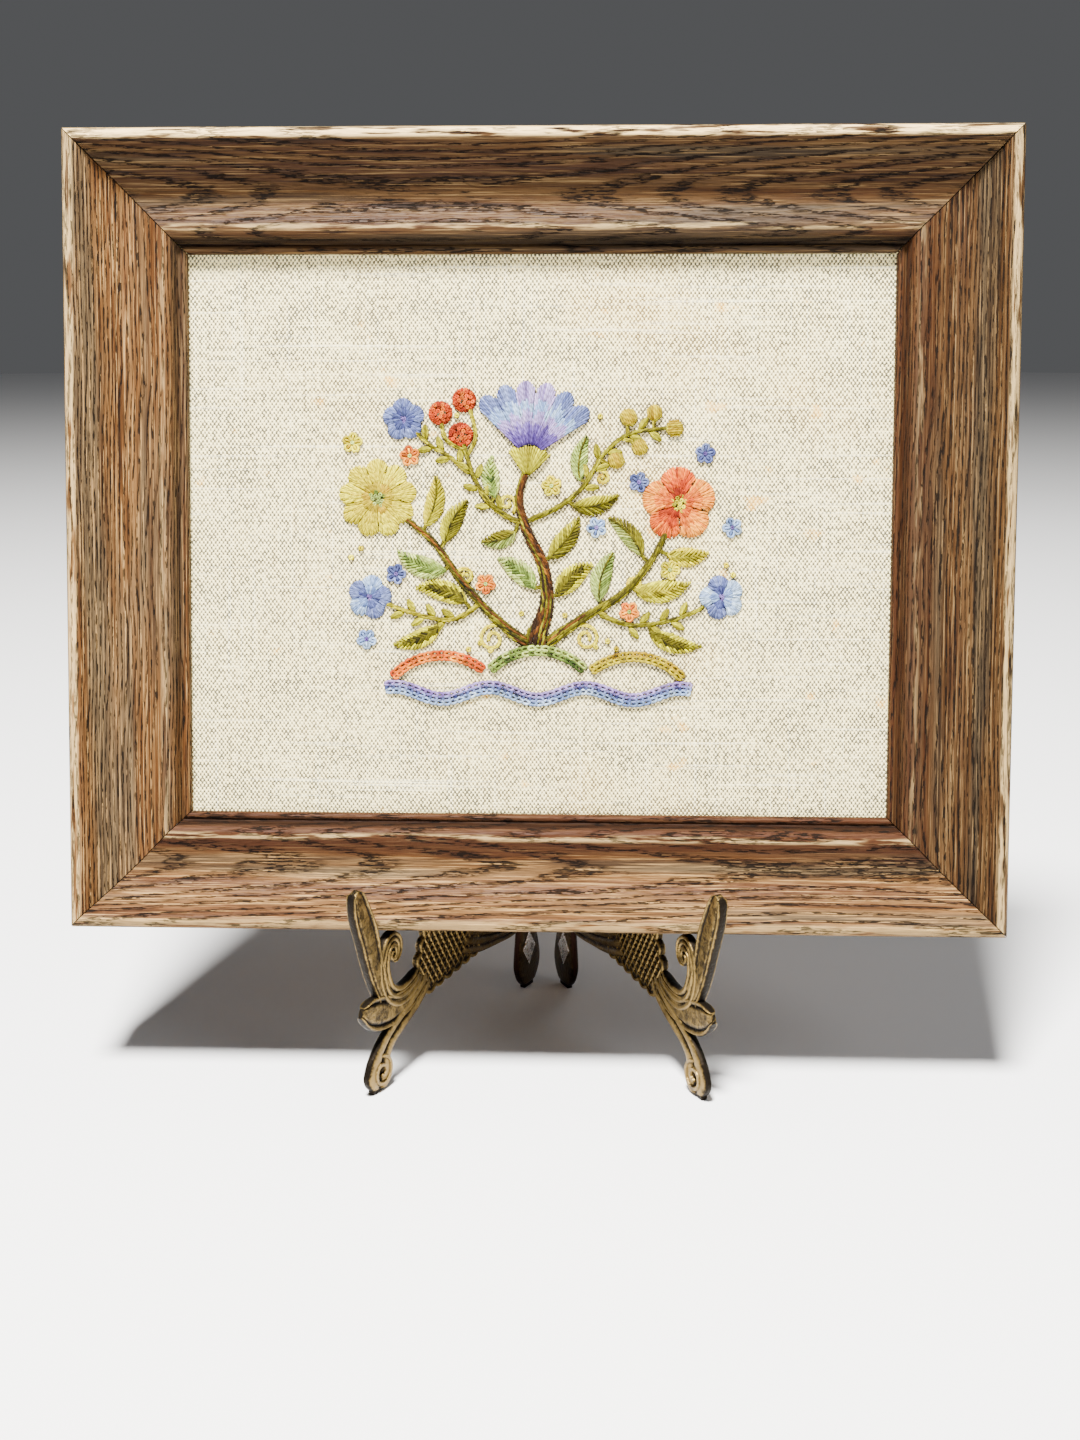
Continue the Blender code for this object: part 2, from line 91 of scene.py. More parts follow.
# A socket that can be used in sums; an expression on it adds its Math nodes
class Feed:
    def __init__(self, tree, socket=None):
        self.tree, self.socket = tree, socket

    def fill(self, node, values):
        for key, value in dict(values).items():
            if isinstance(value, Feed):
                self.tree.links.new(value.socket, node.inputs[key])
            else:
                node.inputs[key].default_value = value

    def node(self, kind, settings=(), sockets=(), out=0):
        made = self.tree.nodes.new("ShaderNode" + kind)
        for key, value in dict(settings).items():
            setattr(made, key, value)
        self.fill(made, sockets)
        return Feed(self.tree, made.outputs[out])

    def maths(self, operation, *values):
        return self.node("Math", {"operation": operation}, enumerate(values))

    def __add__(self, other):
        return self.maths("ADD", self, other)

    def __radd__(self, other):
        return self.maths("ADD", other, self)

    def __sub__(self, other):
        return self.maths("SUBTRACT", self, other)

    def __rsub__(self, other):
        return self.maths("SUBTRACT", other, self)

    def __mul__(self, other):
        return self.maths("MULTIPLY", self, other)

    def __rmul__(self, other):
        return self.maths("MULTIPLY", other, self)

    def __truediv__(self, other):
        return self.maths("DIVIDE", self, other)

    def __pow__(self, other):
        return self.maths("POWER", self, other)

    def sine(self):
        return self.maths("SINE", self)

    def size(self):
        return self.maths("ABSOLUTE", self)

    def atMost(self, most):
        return self.maths("MINIMUM", self, most)

    def atLeast(self, least):
        return self.maths("MAXIMUM", self, least)

    def step(self, low, high):
        return self.node("MapRange", {"interpolation_type": "SMOOTHSTEP"},
                         {"Value": self, "From Min": low, "From Max": high})

    def scaled(self, factors):
        return self.node("VectorMath", {"operation": "MULTIPLY"}, {0: self, 1: factors})

    def noise(self, scale=1.0, detail=3.0, roughness=0.55):
        return self.node("TexNoise", (), {"Vector": self, "Scale": scale, "Detail": detail,
                                          "Roughness": roughness})

    def mix(self, low, high):
        return self.node("Mix", {"data_type": "RGBA"}, {0: self, 6: low, 7: high}, out=2)

    def parts(self):
        split = self.node("SeparateXYZ", (), {0: self}).socket.node
        return [Feed(self.tree, split.outputs[k]) for k in range(3)]

    # noise at a place given by its three shares
    def cloud(self, x, y, z=0.0, detail=2.0):
        return self.node("CombineXYZ", (), {0: x, 1: y, 2: z}).noise(1.0, detail)


# Colours are given as they look on screen, from 0 to 255
def tint(screen):
    return tuple(c / 255.0 / 12.92 if c <= 10.3 else ((c / 255.0 + 0.055) / 1.055) ** 2.4 for c in screen)


def ink(screen):
    return (*tint(screen), 1.0)


def startFinish(name):
    material = bpy.data.materials.new(name)
    material.use_nodes = True
    return material, Feed(material.node_tree)


# Fills the shader's sockets; bump is a height, its distance and its strength
def setFinish(material, sockets, bump=None):
    feed = Feed(material.node_tree)
    if bump:
        raised = feed.node("Bump", (), zip(("Height", "Distance", "Strength"), bump))
        sockets = {**sockets, "Normal": raised}
    feed.fill(feed.tree.nodes["Principled BSDF"], sockets)
    return material


# Stained open-pored oak, one finish a rail: the grain runs along the rail
oak = {
    "tan": (120, 84, 46), "gold": (104, 64, 27), "ash": (92, 79, 58), "rust": (88, 50, 27),
    # the pale colour of rubbed wood below also paints the highlight on the crest and the ridge
    "pale": (176, 138, 86), "brown": (42, 26, 15), "dark": (10, 7, 5), "wornAndLit": (216, 184, 126),
    # the inner colour also paints the shade on the bottom rail's inner slope
    "inner": (52, 27, 14), "gloss": 0.06,
}
# Lines of the moulding, in metres in from its outer edge, and how deep its front reaches
moulding = {"crest": 0.0026, "ridge": 0.0322, "groove": 0.0366, "slope": (0.0215, 0.0300), "front": (0.019, 0.021)}
# How each rail was cut from its log; how dark it is made (the top rail's low tone is painted shade, and the right rail
# is darker than the left); how far its inner slope and groove are darkened (painted shade, with a reddish-brown tone
# on the slope of the other rails); and how far its crest and ridge are rubbed and painted with highlight
logColumns = ("pitch", "pithAcross", "pithDepth", "turnAt", "slope", "tone", "rubbedAndLit", "ridge", "inner",
              "groove", "seed")
logs = {
    "Top": (0.0027, -0.017, 0.058, -0.030, 0.090, 0.55, 1.0, 0.30, 0.15, 0.70, 3.1),
    "Bottom": (0.0028, 0.020, 0.056, 0.090, 0.080, 0.80, 0.25, 0.40, 0.88, 0.70, 8.4),
    "Left": (0.0015, 0.150, 0.110, 0.020, 0.012, 0.80, 0.42, 0.15, 0.30, 0.30, 12.7),
    "Right": (0.0016, -0.160, 0.120, -0.020, 0.012, 0.56, 0.40, 0.10, 0.55, 0.30, 17.9),
}


# The place on the framed panel: right, back from its front plane, and up from its lower edge
def framePoint(feed):
    lean = panel["lean"]
    home = Matrix.Rotation(lean, 3, "X") @ Vector((0.0, panel["setBack"] * mm, panel["lift"] * mm))
    return feed.node("Mapping", (), {"Vector": feed.node("TexCoord", out=3), "Location": tuple(-c for c in home),
                                     "Rotation": (lean, 0.0, 0.0)})


def oakFinish(rail):
    material, feed = startFinish("oak" + rail)
    log = dict(zip(logColumns, logs[rail]))
    x, depth, up = framePoint(feed).parts()
    high, wide, middle = (panel[key] * mm for key in ("height", "halfWidth", "halfHeight"))
    along, across, inward = {
        "Top": (x, up - high, high - up), "Bottom": (x, up, up),
        "Left": (up - middle, x + wide, x + wide), "Right": (up - middle, x - wide, wide - x),
    }[rail]
    flow = along + log["seed"]
    # painted shade: each rail's colours are scaled by its tone, and the top rail's low tone stands for the shade over
    # its scoop
    toned = {name: ink([c * log["tone"] for c in oak[name]])
             for name in ("tan", "gold", "ash", "rust", "pale", "brown")}
    dark, wornAndLit = ink(oak["dark"]), ink(oak["wornAndLit"])

    # noise drawn out along the grain: how fine it is along, and across
    def grain(fine, coarse, detail=2.0, layer=0.0):
        return feed.cloud(flow * fine, across * coarse, depth * coarse + layer, detail)

    # 1 on a line of the moulding, 0 away from it
    def onLine(name, half, soft):
        return 1.0 - (inward - moulding[name]).size().step(half, soft)

    # slow bends of the log, then the distance from its pith
    sway = feed.cloud(flow * 9.0, across * 14.0) - 0.5
    bend = feed.cloud(flow * 6.0, across * 9.0, 5.0) - 0.5
    reach = along - log["turnAt"]
    figure = ((reach * reach + 0.0008) ** 0.5) * log["slope"]
    offAcross = across - log["pithAcross"] + sway * 0.010
    offDepth = log["pithDepth"] - depth - figure + bend * 0.012
    rings = ((offAcross * offAcross + offDepth * offDepth) ** 0.5) / log["pitch"]
    rings = rings + (feed.cloud(rings * 0.4, flow * 3.0, 2.0, 1.0) - 0.5) * 1.8
    rings = rings + (grain(70.0, 420.0) - 0.5) * 0.75
    ringShare = rings.maths("FRACT", rings)
    early = ringShare.step(0.0, 0.12) * (1.0 - ringShare.step(0.30, 0.62))
    # open pores: long dark dashes, thickest in each ring's early wood
    pore = grain(240.0, 1750.0).step(0.515, 0.555)
    hair = grain(130.0, 3100.0, 2.0, 3.0).step(0.54, 0.60)
    pores = (pore * (early * 0.96 + 0.06) + hair * (early * 0.40 + 0.26)).atMost(1.0)
    band = grain(5.0, 110.0, 2.0, 7.0)
    streak = grain(10.0, 460.0, 3.0)
    fibre = grain(32.0, 1700.0, 3.0)
    colour = streak.step(0.38, 0.60).mix(toned["gold"], toned["tan"])
    colour = (band.step(0.48, 0.64) * 0.80).mix(colour, toned["ash"])
    colour = ((1.0 - band.step(0.34, 0.46)) * 0.60).mix(colour, toned["rust"])
    colour = fibre.step(0.53, 0.68).mix(colour, toned["pale"])
    shade = early * 0.42 + (0.50 - fibre) * 3.0 + (0.48 - streak) * 2.0 + 0.10
    colour = shade.atLeast(0.0).atMost(0.92).mix(colour, toned["brown"])
    # darker inner slope by the groove: painted shade on the bottom rail, where that slope faces down; on the other
    # rails a reddish-brown tone of the wood
    front = 1.0 - depth.step(*moulding["front"])
    colour = (inward.step(*moulding["slope"]) * front * log["inner"]).mix(colour, ink(oak["inner"]))
    colour = (pores * 0.92).mix(colour, dark)
    # painted shade in the groove by the inner lip and down the outer flank; crests at the edge and the ridge rubbed
    # and painted with highlight
    groove, ridge = onLine("groove", 0.0004, 0.0018), onLine("ridge", 0.0004, 0.0018)
    crest = onLine("crest", 0.0010, 0.0024)
    flankShade = 1.0 - inward.step(0.0002, 0.0014)
    rubAndGlint = grain(44.0, 520.0, 4.0, 11.0)
    colour = ((groove * log["groove"] + flankShade * 0.55) * front).mix(colour, dark)
    # painted highlight on the crest and the ridge, strongest on the top rail's crest, which faces the light, mixed
    # with real rubbed wear
    bareAndHighlit = crest * rubAndGlint.step(0.40, 0.50) * log["rubbedAndLit"] + ridge * rubAndGlint.step(0.46, 0.58) * log["ridge"]
    colour = (bareAndHighlit * front * (1.0 - pores * 0.75)).mix(colour, wornAndLit)
    # a few small nicks where the finish has gone
    spots = feed.node("CombineXYZ", (), {0: along * 46.0 + log["seed"], 1: across * 46.0, 2: depth * 46.0})
    nick = feed.node("TexVoronoi", {"feature": "F1"}, {"Vector": spots, "Scale": 1.0, "Randomness": 1.0})
    gate = feed.cloud(flow * 14.0, across * 14.0, 2.0, 1.0).step(0.62, 0.66)
    chipped = (1.0 - nick.step(0.016, 0.026)) * gate
    colour = (chipped * 0.8).mix(colour, wornAndLit)
    rough = 0.50 + pores * 0.35 + (fibre - 0.5) * 0.35
    return setFinish(material, {"Base Color": colour, "Roughness": rough, "Specular IOR Level": oak["gloss"]},
                     (fibre * 0.3 - pores - chipped * 0.8, 0.00024, 1.0))


def finishRails():
    for rail in logs:
        dress("rail_" + rail.lower(), oakFinish(rail))
    print("oak rails finished")


# Brown board behind the linen
board = {"light": (150, 122, 88), "dark": (112, 86, 58), "roughness": 0.86}


def finishBoard():
    material, feed = startFinish("board")
    place = feed.node("TexCoord", out=3)
    mottled = place.noise(60.0, 4.0)
    fibre = place.scaled((900.0, 900.0, 90.0)).noise(1.0, 2.0)
    colour = (mottled * 0.7 + fibre * 0.3).step(0.3, 0.7).mix(ink(board["dark"]), ink(board["light"]))
    setFinish(material, {"Base Color": colour, "Roughness": board["roughness"]}, (fibre, 0.0001, 0.6))
    dress("backing_board", material)
    print("board finished")


# Plain-woven linen, stretched on its board
linen = {
    "width": 258.0, "length": 207.0, "cell": 1.7, "thick": 0.8, "behind": 0.12, "pucker": 0.16,
    "warpPitch": 0.00071, "weftPitch": 0.00100,
    "light": (254, 243, 184), "shade": (226, 206, 142), "holeShadow": (20, 15, 8), "stain": (214, 156, 34),
    "slub": (252, 246, 214),
}


def panelPoints(points):
    lean = panel["lean"]
    x, y, z = np.moveaxis(np.asarray(points, float), -1, 0)
    return np.stack((x, y * cos(lean) + z * sin(lean) + panel["setBack"],
                     z * cos(lean) - y * sin(lean) + panel["lift"]), -1) * mm


# How far the cloth stands proud of its flat place, in millimetres
def puckerAt(x, z):
    wide = sin(x * 0.093 + 1.3) * cos(z * 0.071 - 0.4)
    fine = sin(x * 0.31 + 0.6 * sin(z * 0.17)) * cos(z * 0.27 + 0.9)
    return linen["pucker"] * (0.62 * wide + 0.38 * fine)


def linenFinish():
    material, feed = startFinish("linen")
    across, up, _ = feed.node("UVMap", {"uv_map": "cloth"}).parts()
    drift = feed.cloud(across * 9.0, up * 9.0) - 0.5
    lean = feed.cloud(across * 5.0, up * 5.0, 4.0, 1.0) - 0.5
    warp = across / linen["warpPitch"] + drift * 3.0
    weft = up / linen["weftPitch"] + lean * 3.0
    acrossWarp, acrossWeft = (warp * pi).sine(), (weft * pi).sine()
    over = (acrossWarp * acrossWeft).step(-0.2, 0.2)
    sideWarp, sideWeft = acrossWarp.size(), acrossWeft.size()

    # the value of the thread that lies on top here
    def onTop(warpValue, weftValue):
        return over * warpValue + (1.0 - over) * weftValue

    # painted light and shade of the weave: the crown of each float is painted light and its sides darker, as light
    # falls on the round threads
    dome = onTop(sideWarp ** 0.6 * (0.42 + 0.58 * sideWeft ** 0.6), sideWeft ** 0.6 * (0.42 + 0.58 * sideWarp ** 0.6))
    # each thread runs thick and thin along its length
    thread = onTop(feed.cloud(warp * 0.85, up * 26.0, 1.0), feed.cloud(across * 22.0, weft * 0.85, 7.0))
    slub = onTop(feed.cloud(warp * 0.6, up * 12.0, 11.0, 1.0).step(0.60, 0.74),
                 feed.cloud(across * 10.0, weft * 0.6, 17.0, 1.0).step(0.60, 0.74))
    body = dome + (thread - 0.5) * 1.1 + slub * 0.3
    patches = feed.cloud(across * 12.0, up * 12.0, 9.0, 3.0)
    spots = feed.cloud(across * 70.0, up * 90.0, 3.0).step(0.66, 0.76)
    # pin holes beside the floats, painted near black as gaps with the floats' shadow in them: some wide, some closed,
    # some run together along the weft
    open = feed.cloud(across * 620.0, up * 560.0, 5.0)
    tight = feed.cloud(across * 60.0, up * 90.0, 13.0)
    pinholeShadow = (open - 0.5) * 2.2 + (tight - 0.5) * 0.9 - acrossWarp * acrossWeft - thread * 0.5
    pinholeShadow = pinholeShadow.step(-0.26, 0.16)
    # dark lines between weft rows: the gaps and the shade in them, painted
    gap = (1.0 - sideWeft.step(0.05, 0.50)) * open.step(0.45, 0.60)
    colour = body.step(0.30, 0.90).mix(ink(linen["shade"]), ink(linen["light"]))
    colour = (pinholeShadow * 0.92 + gap * 0.40).atMost(0.94).mix(colour, ink(linen["holeShadow"]))
    colour = (slub * 0.40).mix(colour, ink(linen["slub"]))
    colour = (patches.step(0.52, 0.78) * 0.16 + spots * 0.55).mix(colour, ink(linen["stain"]))
    fuzz = feed.cloud(across * 2400.0, up * 2400.0)
    return setFinish(material, {"Base Color": colour, "Roughness": 0.92, "Sheen Weight": 0.05},
                     (body + fuzz * 0.25 - pinholeShadow * 0.6, 0.00022, 1.0))


def makeLinen():
    wide, tall, cell = linen["width"], linen["length"], linen["cell"]
    bm = bmesh.new()
    bmesh.ops.create_grid(bm, x_segments=round(wide / cell), y_segments=round(tall / cell), size=0.5)
    uv = bm.loops.layers.uv.new("cloth")
    flat = {}
    for vert in bm.verts:
        x, z = flat[vert] = vert.co.x * wide, vert.co.y * tall + panel["halfHeight"]
        # the puckers fade out at the edges
        free = min(max(8.8 * (0.5 - max(abs(vert.co.x), abs(vert.co.y))), 0.0), 1.0)
        vert.co = panelPoints((x, panel["linenFront"] - puckerAt(x, z) * free + linen["behind"], z))
    for face in bm.faces:
        for loop in face.loops:
            loop[uv].uv = [c * mm for c in flat[loop.vert]]
        face.smooth = True
    bmesh.ops.recalc_face_normals(bm, faces=bm.faces)
    if bm.faces[0].normal.y > 0:
        bmesh.ops.reverse_faces(bm, faces=bm.faces)
    mesh = bpy.data.meshes.new("linenCloth")
    bm.to_mesh(mesh)
    bm.free()
    cloth = addPiece("linenCloth", mesh, linenFinish(), "linen", "linen")
    wall = cloth.modifiers.new("thickness", "SOLIDIFY")
    wall.thickness, wall.offset = linen["thick"] * mm, -1.0
    print("linen stretched:", len(mesh.polygons), "faces")


# Crewel yarns: screen colours, light to dark
dyes = {
    "lemon": [(176, 165, 0), (158, 143, 0), (128, 111, 0)],
    "gold": [(158, 145, 0), (136, 112, 0), (92, 66, 0)],
    "cream": [(196, 188, 18), (176, 163, 3), (142, 114, 0)],
    "coral": [(196, 102, 12), (166, 56, 5), (100, 22, 2)],
    "salmon": [(208, 134, 34), (190, 96, 16), (146, 54, 8)],
    "periwinkle": [(104, 116, 156), (68, 78, 122), (32, 34, 76)],
    "sky": [(156, 176, 194), (108, 132, 170), (62, 80, 130)],
    "violet": [(114, 98, 152), (80, 62, 124), (44, 28, 80)],
    "lilac": [(150, 136, 176), (120, 102, 154), (84, 64, 118)],
    "olive": [(178, 174, 4), (132, 124, 1), (66, 59, 0)],
    "sage": [(156, 170, 86), (100, 120, 44), (35, 51, 14)],
    "moss": [(122, 118, 4), (70, 65, 1), (25, 23, 0)],
    "bark": [(120, 76, 10), (74, 40, 5), (28, 13, 1)],
}
# tip and cap: how a strand's end narrows and closes; dip: how deep it goes in; loose: how unevenly it lies
yarn = {"width": 0.94, "sides": 6, "twist": 0.0021, "flat": 0.86, "tip": 0.62, "cap": 0.2, "dip": 0.36,
        "loose": 0.06, "swell": 0.12, "bends": np.array((0.0, 0.06, 0.24, 0.55, 0.84, 0.96, 1.0))}


@cache
def woolFinish(slot):
    material, feed = startFinish("wool" + slot.title())
    dye = feed.node("Attribute", {"attribute_name": "dye"})
    along, around, _ = feed.node("UVMap", {"uv_map": "strand"}).parts()
    ply = ((along / yarn["twist"] + around) * fullTurn).sine()
    fibre = feed.cloud(along * 900.0, around * 9.0)
    # painted shade: darker in the twist between the plies and down each strand's sides and underside, where the
    # strands shade each other
    plyShade = (0.5 - ply * 0.5) ** 1.6
    flankShade = 1.0 - (around * fullTurn).sine().step(-0.1, 0.85)
    shade = (plyShade * 0.44 + flankShade * 0.84 + (fibre - 0.5) * 0.7).atLeast(0.0).atMost(1.0)
    return setFinish(material, {"Base Color": shade.mix(dye, dye.scaled((0.24, 0.17, 0.12))), "Roughness": 0.78,
                                "Specular IOR Level": 0.10, "Sheen Weight": 0.02, "Sheen Roughness": 0.4},
                     (ply * 0.6 + fibre, 0.00016, 0.8))


def polar(x, y, reach, angle):
    return x + reach * cos(angle), y + reach * sin(angle)


# Gathers strands of yarn and makes them one mesh; it stands for the CAD node of its name
class Skein:
    triangles = 0

    def __init__(self, name, seed):
        self.name, self.piece = name, "yarn" + name.title().replace("_", "")
        self.random, self.strands, self.count = np.random.default_rng(seed), [], 0

    def slip(self, spread, middle=0.0):
        return self.random.normal(middle, spread)

    def shade(self, dye, tone, spread=0.22):
        tones = [np.array(tint(c)) for c in dyes[dye]]
        tone = min(max(tone + self.slip(0.42), 0.0), 1.999)
        low = int(tone)
        return (tones[low] + (tones[low + 1] - tones[low]) * (tone - low)) * (1.0 + self.slip(spread))

    # A round yarn along a path, closed at both ends
    def lay(self, path, width, colour, endColour=None):
        path = np.asarray(path, float)
        count, sides, k = len(path), yarn["sides"], np.arange(yarn["sides"])
        along = np.gradient(path, axis=0)
        flat, chord = along[:, :2].copy(), path[-1, :2] - path[0, :2]
        flat[np.hypot(*flat.T) < 1e-5] = chord if np.hypot(*chord) > 1e-5 else (1.0, 0.0)
        flat /= np.hypot(*flat.T)[:, None]
        side = np.column_stack((-flat[:, 1], flat[:, 0], np.zeros(count)))
        along /= np.linalg.norm(along, axis=1)[:, None]
        rise = np.cross(along, side)
        radius = np.full(count, width / 2.0)
        radius[[0, -1]] *= yarn["tip"]
        angles = (k * (fullTurn / sides))[:, None]
        ring = side[:, None] * np.cos(angles) + rise[:, None] * np.sin(angles) * yarn["flat"]
        rings = path[:, None] + ring * radius[:, None, None]
        poles = path[[0, -1]] + along[[0, -1]] * width * yarn["cap"] * [[-1.0], [1.0]]
        points = np.concatenate((rings.reshape(-1, 3), poles))
        after, last, pole = (k + 1) % sides, self.count + (count - 1) * sides, self.count + count * sides
        rows = self.count + np.arange(count - 1)[:, None] * sides
        quads = np.stack((rows + k, rows + after, rows + sides + after, rows + sides + k), -1)
        caps = np.concatenate((np.stack((np.full(sides, pole), self.count + after, self.count + k), -1),
                               np.stack((np.full(sides, pole + 1), last + k, last + after), -1)))
        # the yarn's own map: metres along it, turns around it
        reach = np.concatenate(([0.0], np.cumsum(np.linalg.norm(np.diff(path, axis=0), axis=1)))) * mm
        reach = reach + self.random.random()
        spans = np.stack((reach[:-1], reach[:-1], reach[1:], reach[1:]), -1)
        u = np.repeat(spans[:, None], sides, axis=1)
        v = np.broadcast_to(np.stack((k, k + 1, k + 1, k), -1) / sides, u.shape)
        capU = np.repeat(reach[[0, -1]], sides * 3)
        capV = np.concatenate((np.stack((k + 0.5, k + 1, k), -1), np.stack((k + 0.5, k, k + 1), -1))) / sides
        share = np.linspace(0.0, 1.0, count)[:, None]
        shades = colour + ((colour if endColour is None else endColour) - colour) * share
        self.strands.append((points, quads.reshape(-1, 4), caps, np.stack((u, v), -1).reshape(-1, 2),
                             np.stack((capU, capV.ravel()), -1),
                             np.concatenate((np.repeat(shades, sides, axis=0), shades[[0, -1]]))))
        self.count += len(points)

    # One straight stitch: up through the cloth at a, over, and down at b
    def stitch(self, a, b, lift, colour, endColour=None, width=None, sink=None, bow=0.0):
        a, b = np.asarray(a, float), np.asarray(b, float)
        share, (dx, dy) = yarn["bends"], b - a
        normal = np.array((-dy, dx)) / max(np.hypot(dx, dy), 1e-6)
        arch = np.sin(pi * share)
        flat = a + (b - a) * share[:, None] + normal * (bow * arch)[:, None]
        startLift, endLift = lift if hasattr(lift, "__len__") else (lift, lift)
        height = startLift + (endLift - startLift) * share + yarn["swell"] * arch + self.slip(yarn["loose"])
        height[0] = -yarn["dip"]
        height[-1] = -yarn["dip"] if sink is None else sink
        height[1] *= 0.62
        height[-2] *= 0.62 if sink is None else 0.95
        wide = (width or yarn["width"]) * (1.0 + self.slip(0.05))
        self.lay(np.column_stack((flat, height)), wide, colour, endColour)

    # A French knot: two turns of yarn round the needle, drawn down through their middle
    def knot(self, x, y, size, colour, base=0.0):
        share = np.linspace(0.0, 1.0, 19)
        angle = (self.random.random() + 2.15 * share) * fullTurn
        reach = size * (0.345 - 0.05 * share)
        path = np.column_stack((x + reach * np.cos(angle), y + reach * np.sin(angle),
                                base + size * (0.12 + 0.27 * share)))
        heart = (*polar(x, y, 0.10 * size, angle[-1] + 1.2), base + size * 0.36), (x, y, base + size * 0.12)
        self.lay(np.concatenate((path, heart)), size * 0.36, colour)

    # One link of chain stitch, from a to b
    def link(self, a, b, width, lift, colour):
        a, b = np.asarray(a, float), np.asarray(b, float)
        dx, dy = (b - a) / np.hypot(*(b - a))
        angle = np.linspace(0.0, fullTurn, 15)
        reach = 0.5 - 0.5 * np.cos(angle)
        across = np.sin(angle) * (0.52 + 0.34 * reach) * 0.62
        flat = a + (b - a) * reach[:, None] + np.array((-dy, dx)) * (across * width)[:, None]
        height = lift * (0.30 + 0.70 * np.sin(pi * reach * 0.62))
        height[[0, -1]] = -0.25
        self.lay(np.column_stack((flat, height)), chain["yarn"], colour)

    # Rows of stem stitch along a line, each row an offset, a dye and a tone
    def sewRows(self, line, stitchName, rows):
        place, stop, trim, length, pace, slant, lift, width, sink = rowStitches[stitchName]
        while place < line.length - stop:
            end = min(place + length, line.length - trim)
            for across, dye, tone in rows:
                self.stitch(line.off(place, across - slant), line.off(end, across + slant), lift,
                            self.shade(dye, tone), width=width, sink=sink)
            place += pace

    def finish(self, slot):
        points, quads, caps, quadUv, capUv, shades = map(np.concatenate, zip(*self.strands))
        placed = panelPoints(np.column_stack((points[:, 0], panel["linenFront"] - points[:, 2],
                                              panel["halfHeight"] + points[:, 1])))
        mesh = bpy.data.meshes.new(self.piece)
        mesh.from_pydata(placed.tolist(), [], quads.tolist() + caps.tolist())
        uv = np.concatenate((quadUv, capUv))
        mesh.uv_layers.new(name="strand").data.foreach_set("uv", uv.ravel())
        dye = mesh.color_attributes.new(name="dye", type="FLOAT_COLOR", domain="POINT")
        colours = np.column_stack((np.clip(shades, 0.0, 1.0), np.ones(len(shades))))
        dye.data.foreach_set("color", colours.ravel())
        mesh.shade_smooth()
        nodes = [self.name] if self.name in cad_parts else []
        addPiece(self.piece, mesh, woolFinish(slot), "wool_" + slot, *nodes)
        Skein.triangles += 2 * len(quads) + len(caps)


def tell(stage):
    print(stage + ":", Skein.triangles, "triangles")
    Skein.triangles = 0


# Stem stitch in thin rows: start, stop and trim of its line, length, pace, slant, lift, width, sink
rowStitches = {
    "stalk": (0.0, 0.8, 0.0, 3.0, 1.6, 0.12, 0.62, 0.74, None),
    "curl": (0.0, 0.9, 0.0, 2.1, 0.95, 0.10, 0.42, 0.68, None),
    "rib": (0.2, 2.0, 0.6, 2.9, 1.5, 0.10, 1.16, 0.56, 0.5),
}


# A smooth curve through rows of numbers
def smoothRows(rows, perSpan):
    rows = np.asarray(rows, float)
    padded = np.concatenate((rows[:1], rows, rows[-1:]))
    a, b, c, d = (padded[k:len(rows) - 1 + k, None] for k in range(4))
    t = (np.arange(perSpan) / perSpan)[:, None]
    curve = 0.5 * (2 * b + (c - a) * t + (2 * a - 5 * b + 4 * c - d) * t ** 2 + (3 * b - a - 3 * c + d) * t ** 3)
    return np.concatenate((curve.reshape(-1, rows.shape[1]), rows[-1:]))


# A curve that can be asked for its place, direction and width at a distance along it
class Line:
    def __init__(self, rows, perSpan=8):
        self.rows = smoothRows(rows, perSpan) if perSpan else np.asarray(rows, float)
        gaps = np.hypot(*np.diff(self.rows[:, :2], axis=0).T)
        self.reach = np.concatenate(([0.0], np.cumsum(gaps)))
        self.length = self.reach[-1]

    def at(self, distance):
        return np.array([np.interp(distance, self.reach, column) for column in self.rows.T])

    def off(self, distance, across):
        middle = self.at(distance)
        ahead, behind = self.at(min(distance + 0.3, self.length)), self.at(max(distance - 0.3, 0.0))
        dx, dy = (ahead - behind)[:2]
        away = across / hypot(dx, dy)
        return np.array((middle[0] - dy * away, middle[1] + dx * away))


